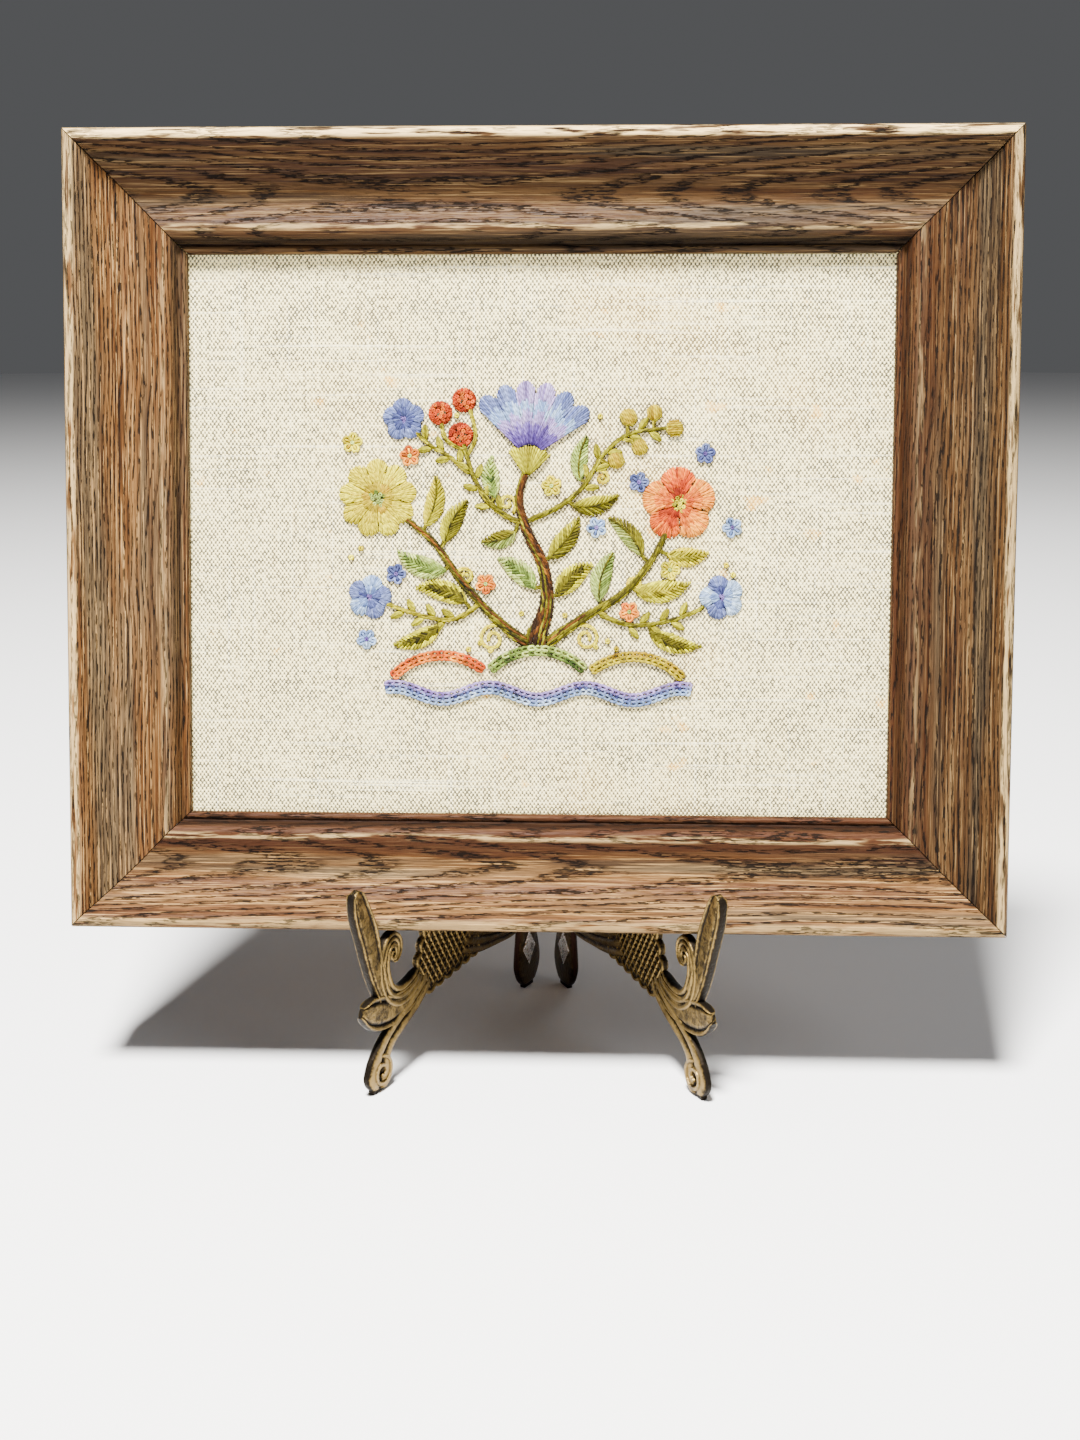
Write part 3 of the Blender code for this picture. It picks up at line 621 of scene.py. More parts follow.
# Stems in rows of stem stitch: x, y, width in millimetres from the middle of the linen
stems = {
    "stem_centre": [(-1.6, -38.6, 8.6), (-1.0, -36.6, 7.4), (3.2, -24.0, 5.4), (1.8, -10.0, 4.6), (-4.0, 2.0, 4.0),
                    (-7.0, 13.0, 3.4), (-5.4, 20.0, 2.8), (-4.6, 22.4, 2.6)],
    "stem_left": [(-3.2, -37.8, 4.8), (-7.5, -35.0, 4.4), (-17.0, -27.0, 3.6), (-28.0, -14.5, 3.2),
                  (-36.0, -3.0, 2.8), (-43.6, 3.6, 2.4), (-46.6, 5.9, 2.2)],
    "stem_right": [(3.0, -37.6, 4.8), (7.5, -34.5, 4.4), (17.0, -28.0, 3.6), (30.0, -20.0, 3.2), (39.5, -9.0, 2.8),
                   (43.4, -2.0, 2.4), (45.0, 1.6, 2.2)],
    "twig_low_left": [(-20.4, -23.4, 2.2), (-22.8, -25.4, 2.2), (-31.0, -29.5, 2.0), (-43.0, -27.5, 1.8),
                      (-51.0, -24.8, 1.6), (-53.6, -23.8, 1.5)],
    "twig_low_right": [(21.2, -25.6, 2.2), (23.4, -27.8, 2.2), (33.0, -31.0, 2.0), (46.0, -29.5, 1.8),
                       (56.0, -25.9, 1.6), (58.8, -24.4, 1.5)],
    "twig_berry": [(-5.8, 5.0, 2.4), (-9.2, 6.2, 2.4), (-16.5, 11.0, 2.2), (-22.5, 20.0, 2.0), (-25.8, 30.0, 1.6),
                   (-26.6, 32.6, 1.5)],
    "twig_star": [(-24.0, 21.6, 1.8), (-26.6, 23.4, 1.8), (-31.0, 28.0, 1.6), (-37.4, 31.4, 1.5),
                  (-41.2, 34.6, 1.4), (-43.4, 36.8, 1.4)],
    "twig_bud": [(-4.4, 5.4, 2.4), (-1.2, 6.8, 2.4), (7.0, 10.5, 2.2), (16.0, 18.0, 2.0), (22.0, 28.0, 1.8),
                 (31.0, 36.0, 1.6), (43.0, 38.0, 1.4), (45.4, 38.2, 1.4)],
}
stemStitch = {"length": 4.3, "pace": 2.1, "stop": 0.8, "rowWidth": 0.84, "slant": 0.20, "crown": 0.62, "low": 0.42}


# Dye and tone of a row: place runs from -1 to 1 across the stem
def stemDye(name, place, rowTone):
    if name.startswith("twig"):
        return ("moss", 0.6) if rowTone > 0.4 else ("olive", 1.4)
    if name != "stem_centre" and rowTone > 0.5:
        return "moss", 1.3
    if rowTone < 0.22 or (abs(place) > 0.55 and rowTone < 0.75):
        return "moss", 0.9
    return "bark", 0.9 + rowTone


def sewStems():
    length, pace, stop, rowWidth, slant, crown, low = stemStitch.values()
    for seed, (name, rows) in enumerate(stems.items()):
        line, skein = Line(rows), Skein(name, 100 + seed)
        rowTones = skein.random.random(round(max(row[2] for row in rows) / rowWidth) + 1)
        for distance in np.arange(0.0, line.length - stop, pace):
            width = line.at(distance)[2]
            count = max(2, round(width / rowWidth))
            for row in range(count):
                start = distance + (row % 2) * pace * 0.5 + skein.slip(0.15)
                end = min(start + length, line.length)
                start = min(max(start, 0.0), line.length - stop)
                place = (row + 0.5) / count * 2.0 - 1.0
                across = place * (width - yarn["width"]) / 2.0
                lift = low + crown * (1.0 - place ** 2) * min(width / 4.0, 1.0)
                skein.stitch(line.off(start, across - slant), line.off(end, across + slant), lift,
                             skein.shade(*stemDye(name, place, rowTones[row])), bow=skein.slip(0.05))
        skein.finish("brown" if name.startswith("stem") else "olive")
    tell("stems sewn")


# Leaves: base x, base y, tip x, tip y, width, bend, manner, outer dye, inner dye
leaves = [
    (6.8, -20.6, 19.8, -9.2, 8.0, 0.08, "shaded", "olive", "moss"),
    (-1.3, -18.0, -14.5, -7.5, 7.6, -0.08, "shaded", "sage", "sage"),
    (3.8, -7.3, 14.5, 7.4, 7.6, -0.06, "split", "olive", "moss"),
    (-8.2, 1.5, -20.5, -1.5, 6.6, 0.10, "split", "sage", "moss"),
    (-25.4, -23.2, -44.0, -18.2, 7.6, -0.10, "shaded", "olive", "moss"),
    (-32.8, -11.8, -50.0, -4.8, 7.8, 0.12, "shaded", "sage", "sage"),
    (-33.2, -2.0, -24.6, 13.2, 7.2, 0.08, "split", "olive", "moss"),
    (-40.0, 3.9, -36.6, 22.0, 7.2, -0.10, "split", "lemon", "olive"),
    (-35.0, -31.6, -52.0, -38.2, 6.8, 0.10, "shaded", "olive", "moss"),
    (21.7, -22.4, 27.0, -4.8, 7.4, 0.10, "split", "sage", "sage"),
    (34.4, -18.6, 54.0, -15.6, 8.0, -0.10, "shaded", "olive", "olive"),
    (36.6, -6.4, 24.2, 7.2, 7.0, -0.10, "split", "sage", "moss"),
    (40.0, -33.4, 58.0, -38.2, 6.8, -0.10, "shaded", "olive", "moss"),
    (-15.4, 14.0, -16.4, 28.5, 6.2, 0.08, "shaded", "sage", "sage"),
    (12.2, 11.2, 28.5, 15.2, 6.8, -0.12, "split", "olive", "moss"),
    (14.6, 20.0, 17.4, 36.0, 6.2, 0.10, "split", "sage", "sage"),
    (45.8, -6.0, 60.5, -5.0, 7.0, -0.10, "shaded", "lemon", "olive"),
]
leafStitch = {"pace": 0.78, "angle": radians(38.0), "edgeLift": 0.34, "ribLift": 0.92}


def leafLine(baseX, baseY, tipX, tipY, width, bend):
    dx, dy = tipX - baseX, tipY - baseY
    rows = []
    for t in np.linspace(0.0, 1.0, 33):
        off = bend * 4.0 * t * (1.0 - t)
        breadth = width * max(sin(pi * t ** 0.85), 0.0) ** 0.8
        rows.append((baseX + dx * t - dy * off, baseY + dy * t + dx * off, breadth))
    return Line(rows, 0)


def sewLeaves():
    angle, low = leafStitch["angle"], leafStitch["edgeLift"]
    for number, (*shape, manner, outer, inner) in enumerate(leaves):
        line = leafLine(*shape)
        skein = Skein(f"leaf_{number + 1:02d}", 200 + number)
        for place in np.arange(0.5, line.length, leafStitch["pace"] / sin(angle) * 0.86):
            half = line.at(place)[2] / 2.0
            rib = max(place - half / tan(angle) - 0.4, 0.0)
            high = leafStitch["ribLift"] * (0.75 + 0.25 * min(half / 3.0, 1.0))
            for side in (-1.0, 1.0):
                edge = line.off(place, side * (half - 0.12 + skein.slip(0.07)))
                middle = line.off(rib, -side * 0.30)
                if manner == "shaded" and half > 1.5:
                    # long-and-short: pale stitches from the edge, darker ones out from the rib
                    inwards, outwards = (edge + (middle - edge) * (share + skein.slip(0.07)) for share in (0.50, 0.36))
                    between = (low + high) / 2.0
                    skein.stitch(edge, inwards, (low, between), skein.shade(outer, 0.25), sink=0.2)
                    skein.stitch(outwards, middle, (between + 0.1, high), skein.shade(inner, 1.25), sink=0.3)
                else:
                    dye, tone = (inner, 0.8) if side < 0 and manner == "split" else (outer, 0.35)
                    skein.stitch(edge, middle, (low, high), skein.shade(dye, tone), skein.shade(inner, 1.1), sink=0.3)
        if manner == "split":
            skein.sewRows(line, "rib", [(0.0, "moss", 1.2)])
        skein.finish("sage" if number % 2 else "olive")
    tell("leaves sewn")


# Open blossoms: x, y, radius, petals, notch, turn, petal dyes in turn, shades of the rows, knot dye, knots, slot
blossoms = {
    "daisy": (-57.0, 13.5, 14.0, 9, 0.20, 0.20, ["lemon", "cream", "lemon"], (0.0, 0.6, 1.7), "sage", 11, "yellow"),
    "primrose": (49.5, 11.8, 13.2, 5, 0.22, 0.35, ["salmon", "coral"], (0.3, 1.0, 1.7), "cream", 12, "coral"),
    "star_low_left": (-60.0, -21.5, 8.0, 5, 0.24, 0.10, ["periwinkle", "sky"], (0.5, 1.1), "violet", 4, "blue"),
    "star_low_right": (65.0, -21.0, 8.0, 5, 0.24, 0.60, ["sky", "periwinkle"], (0.4, 1.2), "violet", 4, "blue"),
    "star_high": (-47.8, 41.2, 7.6, 5, 0.24, 0.40, ["periwinkle"], (0.5, 1.3), "violet", 4, "blue"),
}
# lifts: height of the stitches from the heart to the rim
petalStitch = {"pace": 0.82, "lifts": ((0.0, 0.25, 0.62, 1.0), (0.82, 0.92, 1.05, 0.50)), "fan": 0.80,
               "knotSize": 1.75, "knotLift": 0.45}


def sewBlossoms():
    for seed, (name, row) in enumerate(blossoms.items()):
        x, y, radius, petals, notch, turn, petalDyes, rowTones, knotDye, knots, slot = row
        skein, large = Skein(name, 300 + seed), radius > 10.0
        heart, rows, span = 0.19 if large else 0.17, len(rowTones), fullTurn / petals
        for level, rowTone in enumerate(rowTones):
            outer, inner = (heart + (1.0 - heart) * (1.0 - k / rows) for k in (level, level + 1))
            count = max(3, round(span * radius * outer / petalStitch["pace"]))
            # the petals sewn last lie over the others' sides
            for petal in sorted(range(petals), key=lambda p: p % 2):
                odd, middle = petal % 2, petal * span
                for k in range(count):
                    place = (k + 0.5) / count
                    angle = middle + (place - 0.5) * span * (1.02 if odd else 0.98) + skein.slip(0.01)
                    reach = radius * (1.0 - notch + notch * abs(cos(petals * angle / 2.0)) ** 0.7)
                    top = reach * outer * (1.0 if level == 0 else 1.0 + skein.slip(0.035, 0.03))
                    top = min(top, reach) - 0.15
                    low = max(reach * inner * (1.0 - abs(skein.slip(0.08, 0.10))), radius * heart * 0.8)
                    drawn = middle + (angle - middle) * petalStitch["fan"]
                    edgeDip = 0.25 * (place * 2.0 - 1.0) ** 2
                    lifts = [np.interp(away / radius, *petalStitch["lifts"]) - edgeDip for away in (top, low)]
                    lifts[0] += 0.03 * odd
                    dye, tone = petalDyes[petal % len(petalDyes)], rowTone + 0.25 * odd
                    skein.stitch(polar(x, y, top, angle + turn), polar(x, y, low, drawn + turn), lifts,
                                 skein.shade(dye, tone), skein.shade(dye, tone + 0.3),
                                 sink=0.25 if level == rows - 1 else 0.45)
        size = petalStitch["knotSize"] * (1.0 if large else 0.8)
        for k in range(knots):
            skein.knot(*polar(x, y, size * 0.50 * sqrt(k + 0.2), k * golden), size, skein.shade(knotDye, 0.5),
                       petalStitch["knotLift"])
        skein.finish(slot)
    tell("blossoms sewn")


# Side-on blossom and its cup; overlap: how far the cup's stitches run up over the blossom's foot
carnation = {"x": -3.5, "y": 27.5, "radius": 27.5, "aim": 84.0, "spread": 104.0, "lobes": 6, "throat": 5.4,
             "notch": 0.16}
cup = {"x": -4.2, "y": 20.9, "radius": 9.0, "aim": 84.0, "spread": 84.0, "throat": 1.2, "overlap": 2.9, "pace": 0.80}
# Bands of the blossom from the rim inwards: outer share, inner share, dye, tone
fanBands = [
    (1.00, 0.76, "periwinkle", 0.6), (0.84, 0.60, "sky", 0.9), (0.68, 0.45, "lilac", 0.6),
    (0.53, 0.32, "violet", 0.9), (0.40, 0.20, "violet", 1.6),
]


def sewCarnation():
    x, y, radius, aim, spread, lobes, throat, notch = carnation.values()
    skein, start, sweep = Skein("carnation", 400), radians(aim + spread / 2.0), radians(spread)
    for outer, inner, bandDye, tone in fanBands:
        count = round(sweep * radius * outer / petalStitch["pace"])
        for k in range(count):
            t = (k + 0.5) / count
            lobe, number = abs(sin(pi * lobes * t)) ** 0.6, floor(t * lobes)
            reach = radius * (1.0 - notch + notch * lobe)
            middle = (number + 0.5) / lobes
            drawn = middle + (t - middle) * 0.86
            top = reach * outer * (1.0 + (0.0 if outer == 1.0 else skein.slip(0.03))) - 0.15
            low = max(reach * inner * (1.0 - abs(skein.slip(0.05, 0.03))), throat * 0.95)
            valley = 0.35 * (1.0 - lobe)
            lifts = (0.5 + 0.55 * min((1.0 - top / radius) * 4.0, 1.0) - valley,
                     0.5 + 0.6 * min((1.0 - low / radius) * 4.0, 1.0) - valley * 0.6)
            dye = "lilac" if bandDye == "periwinkle" and number in (2, 3) else bandDye
            skein.stitch(polar(x, y, top, start - sweep * t), polar(x, y, low, start - sweep * drawn), lifts,
                         skein.shade(dye, tone), skein.shade(dye, tone + 0.2), sink=0.3)
    skein.finish("violet")
    x, y, radius, aim, spread, throat, overlap, pace = cup.values()
    skein, start, sweep = Skein("carnation_cup", 401), radians(aim + spread / 2.0), radians(spread)
    count = round(sweep * radius / pace)
    for k in range(count):
        angle = start - sweep * (k + 0.5) / count
        top = (radius + overlap) * (1.0 - abs(skein.slip(0.05)))
        skein.stitch(polar(x, y, top, angle), polar(x, y, throat, angle), (1.35, 1.25),
                     skein.shade("olive", 0.5), skein.shade("moss", 1.1), sink=0.4)
    skein.finish("olive")
    tell("carnation sewn")


# Berries of massed knots: x, y, radius
berries = [(-27.6, 35.8, 4.4), (-34.8, 43.4, 4.2), (-26.4, 48.0, 4.2)]
berryKnot = {"size": 1.7, "spacing": 0.50, "rim": 0.9}
# Buds of satin stitch with a small calyx: x, y, radius, and the way they point
buds = [(27.4, 27.0, 2.9, -70.0), (35.6, 31.6, 2.8, -62.0), (31.5, 42.0, 3.0, 118.0), (40.6, 43.6, 2.8, 95.0),
        (47.8, 38.2, 3.0, 5.0)]
budStitch = {"pace": 0.76, "calyx": 7, "spread": 0.30, "width": 0.62}


def sewBerriesAndBuds():
    size = berryKnot["size"]
    for number, (x, y, radius) in enumerate(berries):
        skein, k = Skein(f"berry_{number + 1}", 500 + number), 0
        away = size * berryKnot["spacing"] * sqrt(0.4)
        while away < radius - size * 0.42:
            skein.knot(*polar(x, y, away, k * golden), size, skein.shade("coral", 0.5 + 0.9 * away / radius),
                       0.75 * (1.0 - (away / radius) ** 2))
            k += 1
            away = size * berryKnot["spacing"] * sqrt(k + 0.4)
        # a ring of small stitches round the knots
        rim = round(fullTurn * radius / berryKnot["rim"])
        for angle in np.arange(rim) * (fullTurn / rim):
            skein.stitch(polar(x, y, radius - 0.1, angle), polar(x, y, radius - 1.7, angle + 0.12), (0.35, 0.5),
                         skein.shade("coral", 1.5), sink=0.1)
        skein.finish("coral")
    for number, (x, y, radius, heading) in enumerate(buds):
        skein, aim = Skein(f"bud_{number + 1}", 520 + number), radians(heading)
        rows = round(2.0 * radius / budStitch["pace"])
        for k in range(rows):
            across = ((k + 0.5) / rows * 2.0 - 1.0) * (radius - 0.2)
            half = sqrt(radius ** 2 - across ** 2)
            row = polar(x, y, across, aim + pi / 2.0)
            skein.stitch(polar(*row, half, aim), polar(*row, -half, aim), 0.45 + 0.85 * (1.0 - (across / radius) ** 2),
                         skein.shade("gold", 0.3), skein.shade("gold", 1.3))
        foot = polar(x, y, -radius - 0.3, aim)
        for k in range(budStitch["calyx"]):
            tip = polar(*foot, radius * (0.95 - 0.10 * (k % 2)), aim + (k - 3) * budStitch["spread"])
            skein.stitch(foot, tip, (0.7, 1.35 - 0.12 * abs(k - 3)), skein.shade("olive", 1.0),
                         width=budStitch["width"], sink=0.6)
        skein.finish("yellow")
    tell("berries and buds sewn")


# Mounds and the wave in rows of chain stitch: x, y, radius, width, from, to; dyes of the rows, slot
hills = {
    "hill_centre": (0.0, -63.6, 23.6, 3.6, 45.0, 135.0, ["sage", "sage"], "sage"),
    "hill_left": (-34.0, -66.0, 24.0, 3.2, 52.0, 137.0, ["coral", "salmon"], "coral"),
    "hill_right": (34.0, -66.0, 24.0, 3.2, 43.0, 128.0, ["gold", "lemon"], "yellow"),
}
wave = {"half": 54.4, "length": 34.0, "rise": 2.2, "y": -55.4, "width": 4.2, "dyes": ["lilac", "periwinkle", "sky"]}
chain = {"pace": 2.3, "overlap": 0.9, "lift": 0.85, "wide": 1.66, "yarn": 1.0}


def sewChain(skein, line, across, dye, tone):
    links = round(line.length / chain["pace"])
    for k in range(links):
        low = line.length * k / links
        high = min(low + chain["pace"] + chain["overlap"], line.length)
        skein.link(line.off(low, across), line.off(high, across), chain["wide"], chain["lift"],
                   skein.shade(dye, tone))


def sewHills():
    for seed, (name, (x, y, radius, width, start, end, rowDyes, slot)) in enumerate(hills.items()):
        angles = np.radians(np.linspace(start, end, 40))
        line = Line(np.column_stack((x + radius * np.cos(angles), y + radius * np.sin(angles))), 0)
        skein = Skein(name, 600 + seed)
        for k, dye in enumerate(rowDyes):
            sewChain(skein, line, (k - 0.5) * width * 0.48, dye, 0.6 + 0.7 * k)
        skein.finish(slot)
    places = np.linspace(-wave["half"], wave["half"], 80)
    heights = wave["y"] - wave["rise"] * np.cos(fullTurn * places / wave["length"])
    line, skein = Line(np.column_stack((places, heights)), 0), Skein("wave", 620)
    for k, dye in enumerate(wave["dyes"]):
        sewChain(skein, line, (1 - k) * wave["width"] * 0.33, dye, 0.9)
    skein.finish("violet")
    tell("mounds and wave sewn")


# Short stalks of the berries and buds
sprigs = [
    [(-25.2, 28.6), (-22.2, 35.0), (-24.2, 44.6)], [(-26.0, 30.2), (-32.6, 33.8), (-34.4, 39.8)],
    [(21.6, 27.4), (24.4, 25.6)], [(29.4, 34.6), (33.4, 33.4)], [(31.0, 36.0), (31.4, 39.6)],
    [(40.4, 37.8), (40.5, 41.4)],
]


def sewSprigs():
    skein = Skein("sprigs", 690)
    for points in sprigs:
        skein.sewRows(Line(points), "stalk", [(-0.30, "olive", 1.2), (0.30, "olive", 1.2)])
    # each leaf's stalk runs from the nearest stem to its base
    stemPoints = np.concatenate([Line(rows).rows[:, :2] for rows in stems.values()])
    for row in leaves:
        base, inside = np.array(row[:2]), leafLine(*row[:6]).at(2.2)[:2]
        near = stemPoints[np.argmin(np.hypot(*(stemPoints - base).T))]
        skein.sewRows(Line([near, base, inside]), "stalk", [(-0.30, "moss", 0.8), (0.30, "moss", 0.8)])
    skein.finish("olive")
    tell("stalks sewn")


# Loose curls: start x, start y, heading, first radius, turns, which way, and a tail before the curl
curls = [
    (-12.4, -31.4, 168.0, 4.6, 1.35, 1.0, 4.0), (13.5, -31.2, 12.0, 4.4, 1.35, -1.0, 4.0),
    (-9.0, 8.5, 60.0, 3.0, 1.2, 1.0, 3.0), (31.8, -18.8, 104.0, 2.6, 1.2, -1.0, 2.6),
    (-29.5, -12.6, 40.0, 2.9, 1.25, -1.0, 3.0), (20.5, 23.5, 8.0, 2.5, 1.2, -1.0, 2.2),
]
# Single large knots scattered by the stems: x, y
seeds = [(-20.5, -37.5), (-24.6, -39.8), (-16.8, -40.2), (20.6, -38.6), (24.8, -36.6), (28.0, -39.4),
         (-5.8, -27.0), (9.6, -27.6), (-33.6, 36.0), (-29.0, 42.6), (21.6, 42.4), (-66.5, -7.4), (-63.0, -4.2),
         (66.4, -9.6), (68.8, -13.0)]
curlStep = 0.35


def curlLine(x, y, heading, radius, turns, way, tail):
    points, angle, travelled, turned = [(x, y)], radians(heading), 0.0, 0.0
    whole = turns * fullTurn
    while turned < whole:
        if travelled < tail:
            angle += way * curlStep / (radius * 2.6)
            travelled += curlStep
        else:
            share = curlStep / (radius * (1.0 - 0.72 * turned / whole))
            angle += way * share
            turned += share
        points.append(polar(*points[-1], curlStep, angle))
    return Line(points, 0)


def sewCurlsAndSeeds():
    skein = Skein("curls", 700)
    for row in curls:
        skein.sewRows(curlLine(*row), "curl", [(-0.26, "cream", 0.6), (0.26, "cream", 1.1)])
    skein.finish("yellow")
    skein = Skein("seeds", 701)
    for x, y in seeds:
        skein.knot(x, y, 2.1, skein.shade("cream", 0.8), -0.1)
    skein.finish("yellow")
    tell("curls and seeds sewn")


# Small flowers of looped stitches round a knot: x, y, dye
posies = [(35.4, 19.4, "periwinkle"), (-18.6, -16.6, "salmon"), (20.6, 3.4, "sky"), (-45.6, 28.4, "salmon"),
          (58.6, 29.4, "periwinkle"), (-50.5, -13.2, "periwinkle"), (32.4, -26.2, "salmon"), (68.4, 3.6, "sky"),
          (4.6, 18.0, "cream"), (-66.0, 33.0, "cream"), (46.6, -11.4, "cream"), (-61.0, -36.4, "sky")]
posy = {"petals": 5, "heart": 0.7, "reach": 3.3, "wide": 2.5, "lift": 0.6, "knot": 1.6}
# Leaflets in pairs of bowed stitches: twig, from and to in millimetres along it
leaflets = [("twig_low_left", 11.0, 31.0), ("twig_low_right", 13.0, 34.0), ("twig_berry", 9.0, 29.0),
            ("twig_star", 6.0, 21.0), ("twig_bud", 24.0, 40.0), ("twig_bud", 49.0, 60.0)]
leaflet = {"pace": 3.7, "length": 4.9, "angle": radians(44.0), "bows": (0.9, -0.9, 0.45, -0.45, 0.0)}


def sewPosies():
    skein, lift = Skein("posies", 710), posy["lift"]
    for number, (x, y, dye) in enumerate(posies):
        for k in range(posy["petals"]):
            angle = fullTurn * k / posy["petals"] + number
            a, tip = polar(x, y, posy["heart"], angle), polar(x, y, posy["reach"], angle)
            skein.link(a, tip, posy["wide"], lift, skein.shade(dye, 0.6))
            skein.stitch(a, polar(x, y, posy["reach"] - 0.5, angle), lift, skein.shade(dye, 1.1))
        skein.knot(x, y, posy["knot"], skein.shade("violet" if dye in ("sky", "periwinkle") else "sage", 0.6), 0.3)
    skein.finish("blue")
    skein = Skein("leaflets", 711)
    for name, start, end in leaflets:
        line = Line(stems[name])
        for number, place in enumerate(np.arange(start, min(end, line.length - 1.0), leaflet["pace"])):
            side = 1.0 if number % 2 else -1.0
            a = line.off(place, side * line.at(place)[2] * 0.45)
            dx, dy = line.off(place + 0.5, 0.0) - line.off(place, 0.0)
            b = polar(*a, leaflet["length"], atan2(dy, dx) + side * leaflet["angle"])
            for bow in leaflet["bows"]:
                skein.stitch(a, b, 0.72 - 0.28 * abs(bow), skein.shade("olive", 0.5), skein.shade("moss", 0.9),
                             bow=bow)
    skein.finish("olive")
    tell("posies and leaflets sewn")


# Old brass: dark in the hollows, rubbed golden on the ridges, redder at the back
brass = {"bright": (122, 100, 56), "olive": (70, 56, 29), "dark": (13, 9, 6), "rear": (36, 17, 11),
         # the last colour paints the reflection on the rear posts' facets
         "facetGlint": (252, 246, 242)}


def brassFinish():
    material, feed = startFinish("brass")
    place = feed.node("TexCoord", out=3)
    rubAndGlint, rear = (feed.node("Attribute", {"attribute_name": name}, out=2) for name in ("rubAndGlint", "rear"))
    bright, olive, dark, redder, bareAndHighlit = map(ink, brass.values())
    mottle, pebble = place.noise(330.0, 4.0, 0.6), place.noise(950.0, 2.0, 0.6)
    grime = place.noise(130.0, 3.0, 0.6)
    wornAndLit = (rubAndGlint + (mottle - 0.5) * 0.7 + (pebble - 0.5) * 0.6).step(0.34, 0.92)
    colour = (mottle * 0.7 + wornAndLit * 0.5).step(0.42, 0.95).mix(olive, bright)
    colour = (wornAndLit * 0.92 + 0.06).mix(dark, colour)
    colour = (grime.step(0.50, 0.72) * 0.45).mix(colour, dark)
    colour = (rear * (0.90 - wornAndLit * 0.22)).mix(colour, redder)
    # painted reflection: the pebbled facet on each rear post is painted near white, with specks of brass where the
    # pebbling rises
    facetGlint = rubAndGlint.step(1.2, 1.5)
    colour = (facetGlint * (1.0 - pebble.step(0.60, 0.66))).mix(colour, bareAndHighlit)
    rough = 0.58 - wornAndLit * 0.14 + (mottle - 0.5) * 0.25 - facetGlint * 0.16
    return setFinish(material, {"Base Color": colour, "Roughness": rough, "Metallic": 0.92},
                     (pebble * 0.8 + mottle, 0.00035, 0.8))


# Folding easel: two cast plates on a hinge pin, each drawn flat by reach back from its front foot and height
easel = {"halfSpan": 58.2, "setBack": -4.7, "angle": radians(26.6), "shift": 1.2, "half": 1.7, "edge": 1.15,
         "barrel": 3.6, "bore": 1.7, "barrelLow": 33.4, "barrelSplit": 47.0, "barrelHigh": 60.6, "slit": 0.15,
         "armFrom": 111.4, "armInset": 0.6, "soles": ((2.0, 0.0), (111.8, 1.0)), "soleHalf": 3.6, "soleHigh": 2.5}
# Scrolls: reach, height, width; then the manner of their faces, their ridges, and how red they are
scrolls = {
    "prong": ([(-8.2, 78.0, 2.6), (-7.6, 76.0, 6.4), (-5.6, 69.6, 9.6), (-1.9, 60.0, 10.6), (0.8, 50.0, 9.4),
               (3.8, 41.5, 8.4), (7.4, 34.5, 7.6)], "rimmed", 1, 0.0),
    "curl": ([(29.5, 34.8, 6.4), (22.4, 31.8, 8.0), (16.2, 31.4, 8.0), (10.4, 34.6, 7.6), (7.4, 40.8, 7.0),
              (7.0, 47.4, 6.4), (9.4, 52.6, 6.0), (13.0, 54.3, 5.6), (15.8, 52.0, 5.2), (15.4, 48.0, 4.4),
              (13.0, 46.0, 2.8)], "ridged", 3, 0.0),
    "lobe": ([(32.0, 33.0, 8.0), (22.4, 28.8, 10.0), (12.4, 27.8, 12.0), (4.4, 29.2, 13.2), (-1.6, 31.2, 10.8),
              (-6.2, 33.0, 4.0)], "rimmed", 1, 0.0),
    "leg": ([(35.5, 31.5, 7.0), (26.6, 25.8, 8.0), (17.2, 21.4, 8.0), (10.2, 17.8, 8.0), (5.8, 13.8, 9.8),
             (3.8, 9.6, 14.0), (3.0, 5.8, 16.2), (2.4, 2.8, 13.2), (2.0, 0.9, 8.0)], "ridged", 2, 0.0),
    "fan": ([(64.0, 42.0, 22.6), (76.0, 37.4, 19.4), (87.0, 34.4, 15.2), (98.0, 33.0, 13.4), (106.0, 35.0, 13.0),
             (111.5, 38.0, 11.0)], "ridged", 6, 0.75),
    "post": ([(111.0, 62.0, 6.0), (111.2, 57.0, 10.0), (111.4, 45.0, 11.0), (110.8, 33.0, 12.6),
              (110.8, 25.4, 13.2), (111.4, 17.4, 17.0), (111.8, 10.4, 19.0), (111.8, 5.0, 15.0),
              (111.8, 1.2, 8.0)], "plain", 1, 1.0),
}
# Rest bar under the back of the frame: height, width
restBar = [(59.0, 11.0), (75.0, 9.6), (95.0, 8.4), (115.0, 7.6), (135.0, 7.0), (150.0, 5.0)]
# Latticed panel: its corners, and the scallops on the side after each
lattice = {"corners": [(29.4, 37.0, 3), (36.2, 53.0, 0), (70.0, 52.4, 0), (72.0, 30.4, 6), (34.2, 26.4, 0)],
           "rise": 1.7, "spacing": 2.7, "wide": 0.95, "angles": (38.0, 122.0), "middle": (51.0, 40.0)}
# Raised spirals in the curl and at the foot: reach, height, half width, half height, turns, start, bead
spirals = [(12.4, 48.8, 3.4, 3.6, 1.4, 200.0, 0.6), (3.4, 7.2, 6.2, 6.0, 1.6, 90.0, 1.0)]
# Facet on the rear post: reach, height, half width, half height, and its two rings' share and rise
facets = {"at": (111.0, 17.2), "half": (5.4, 8.2), "rings": ((1.0, 0.0), (0.86, 0.7))}


# How rubbed and how red a part of a plate is; a rub above 1 marks the facet that gets a painted reflection
def mark(bm, verts, wornAndLit, rear):
    rubAndGlint, back = bm.verts.layers.float["rubAndGlint"], bm.verts.layers.float["rear"]
    for vert, share in zip(verts, np.broadcast_to(wornAndLit, len(verts))):
        vert[rubAndGlint], vert[back] = share, rear


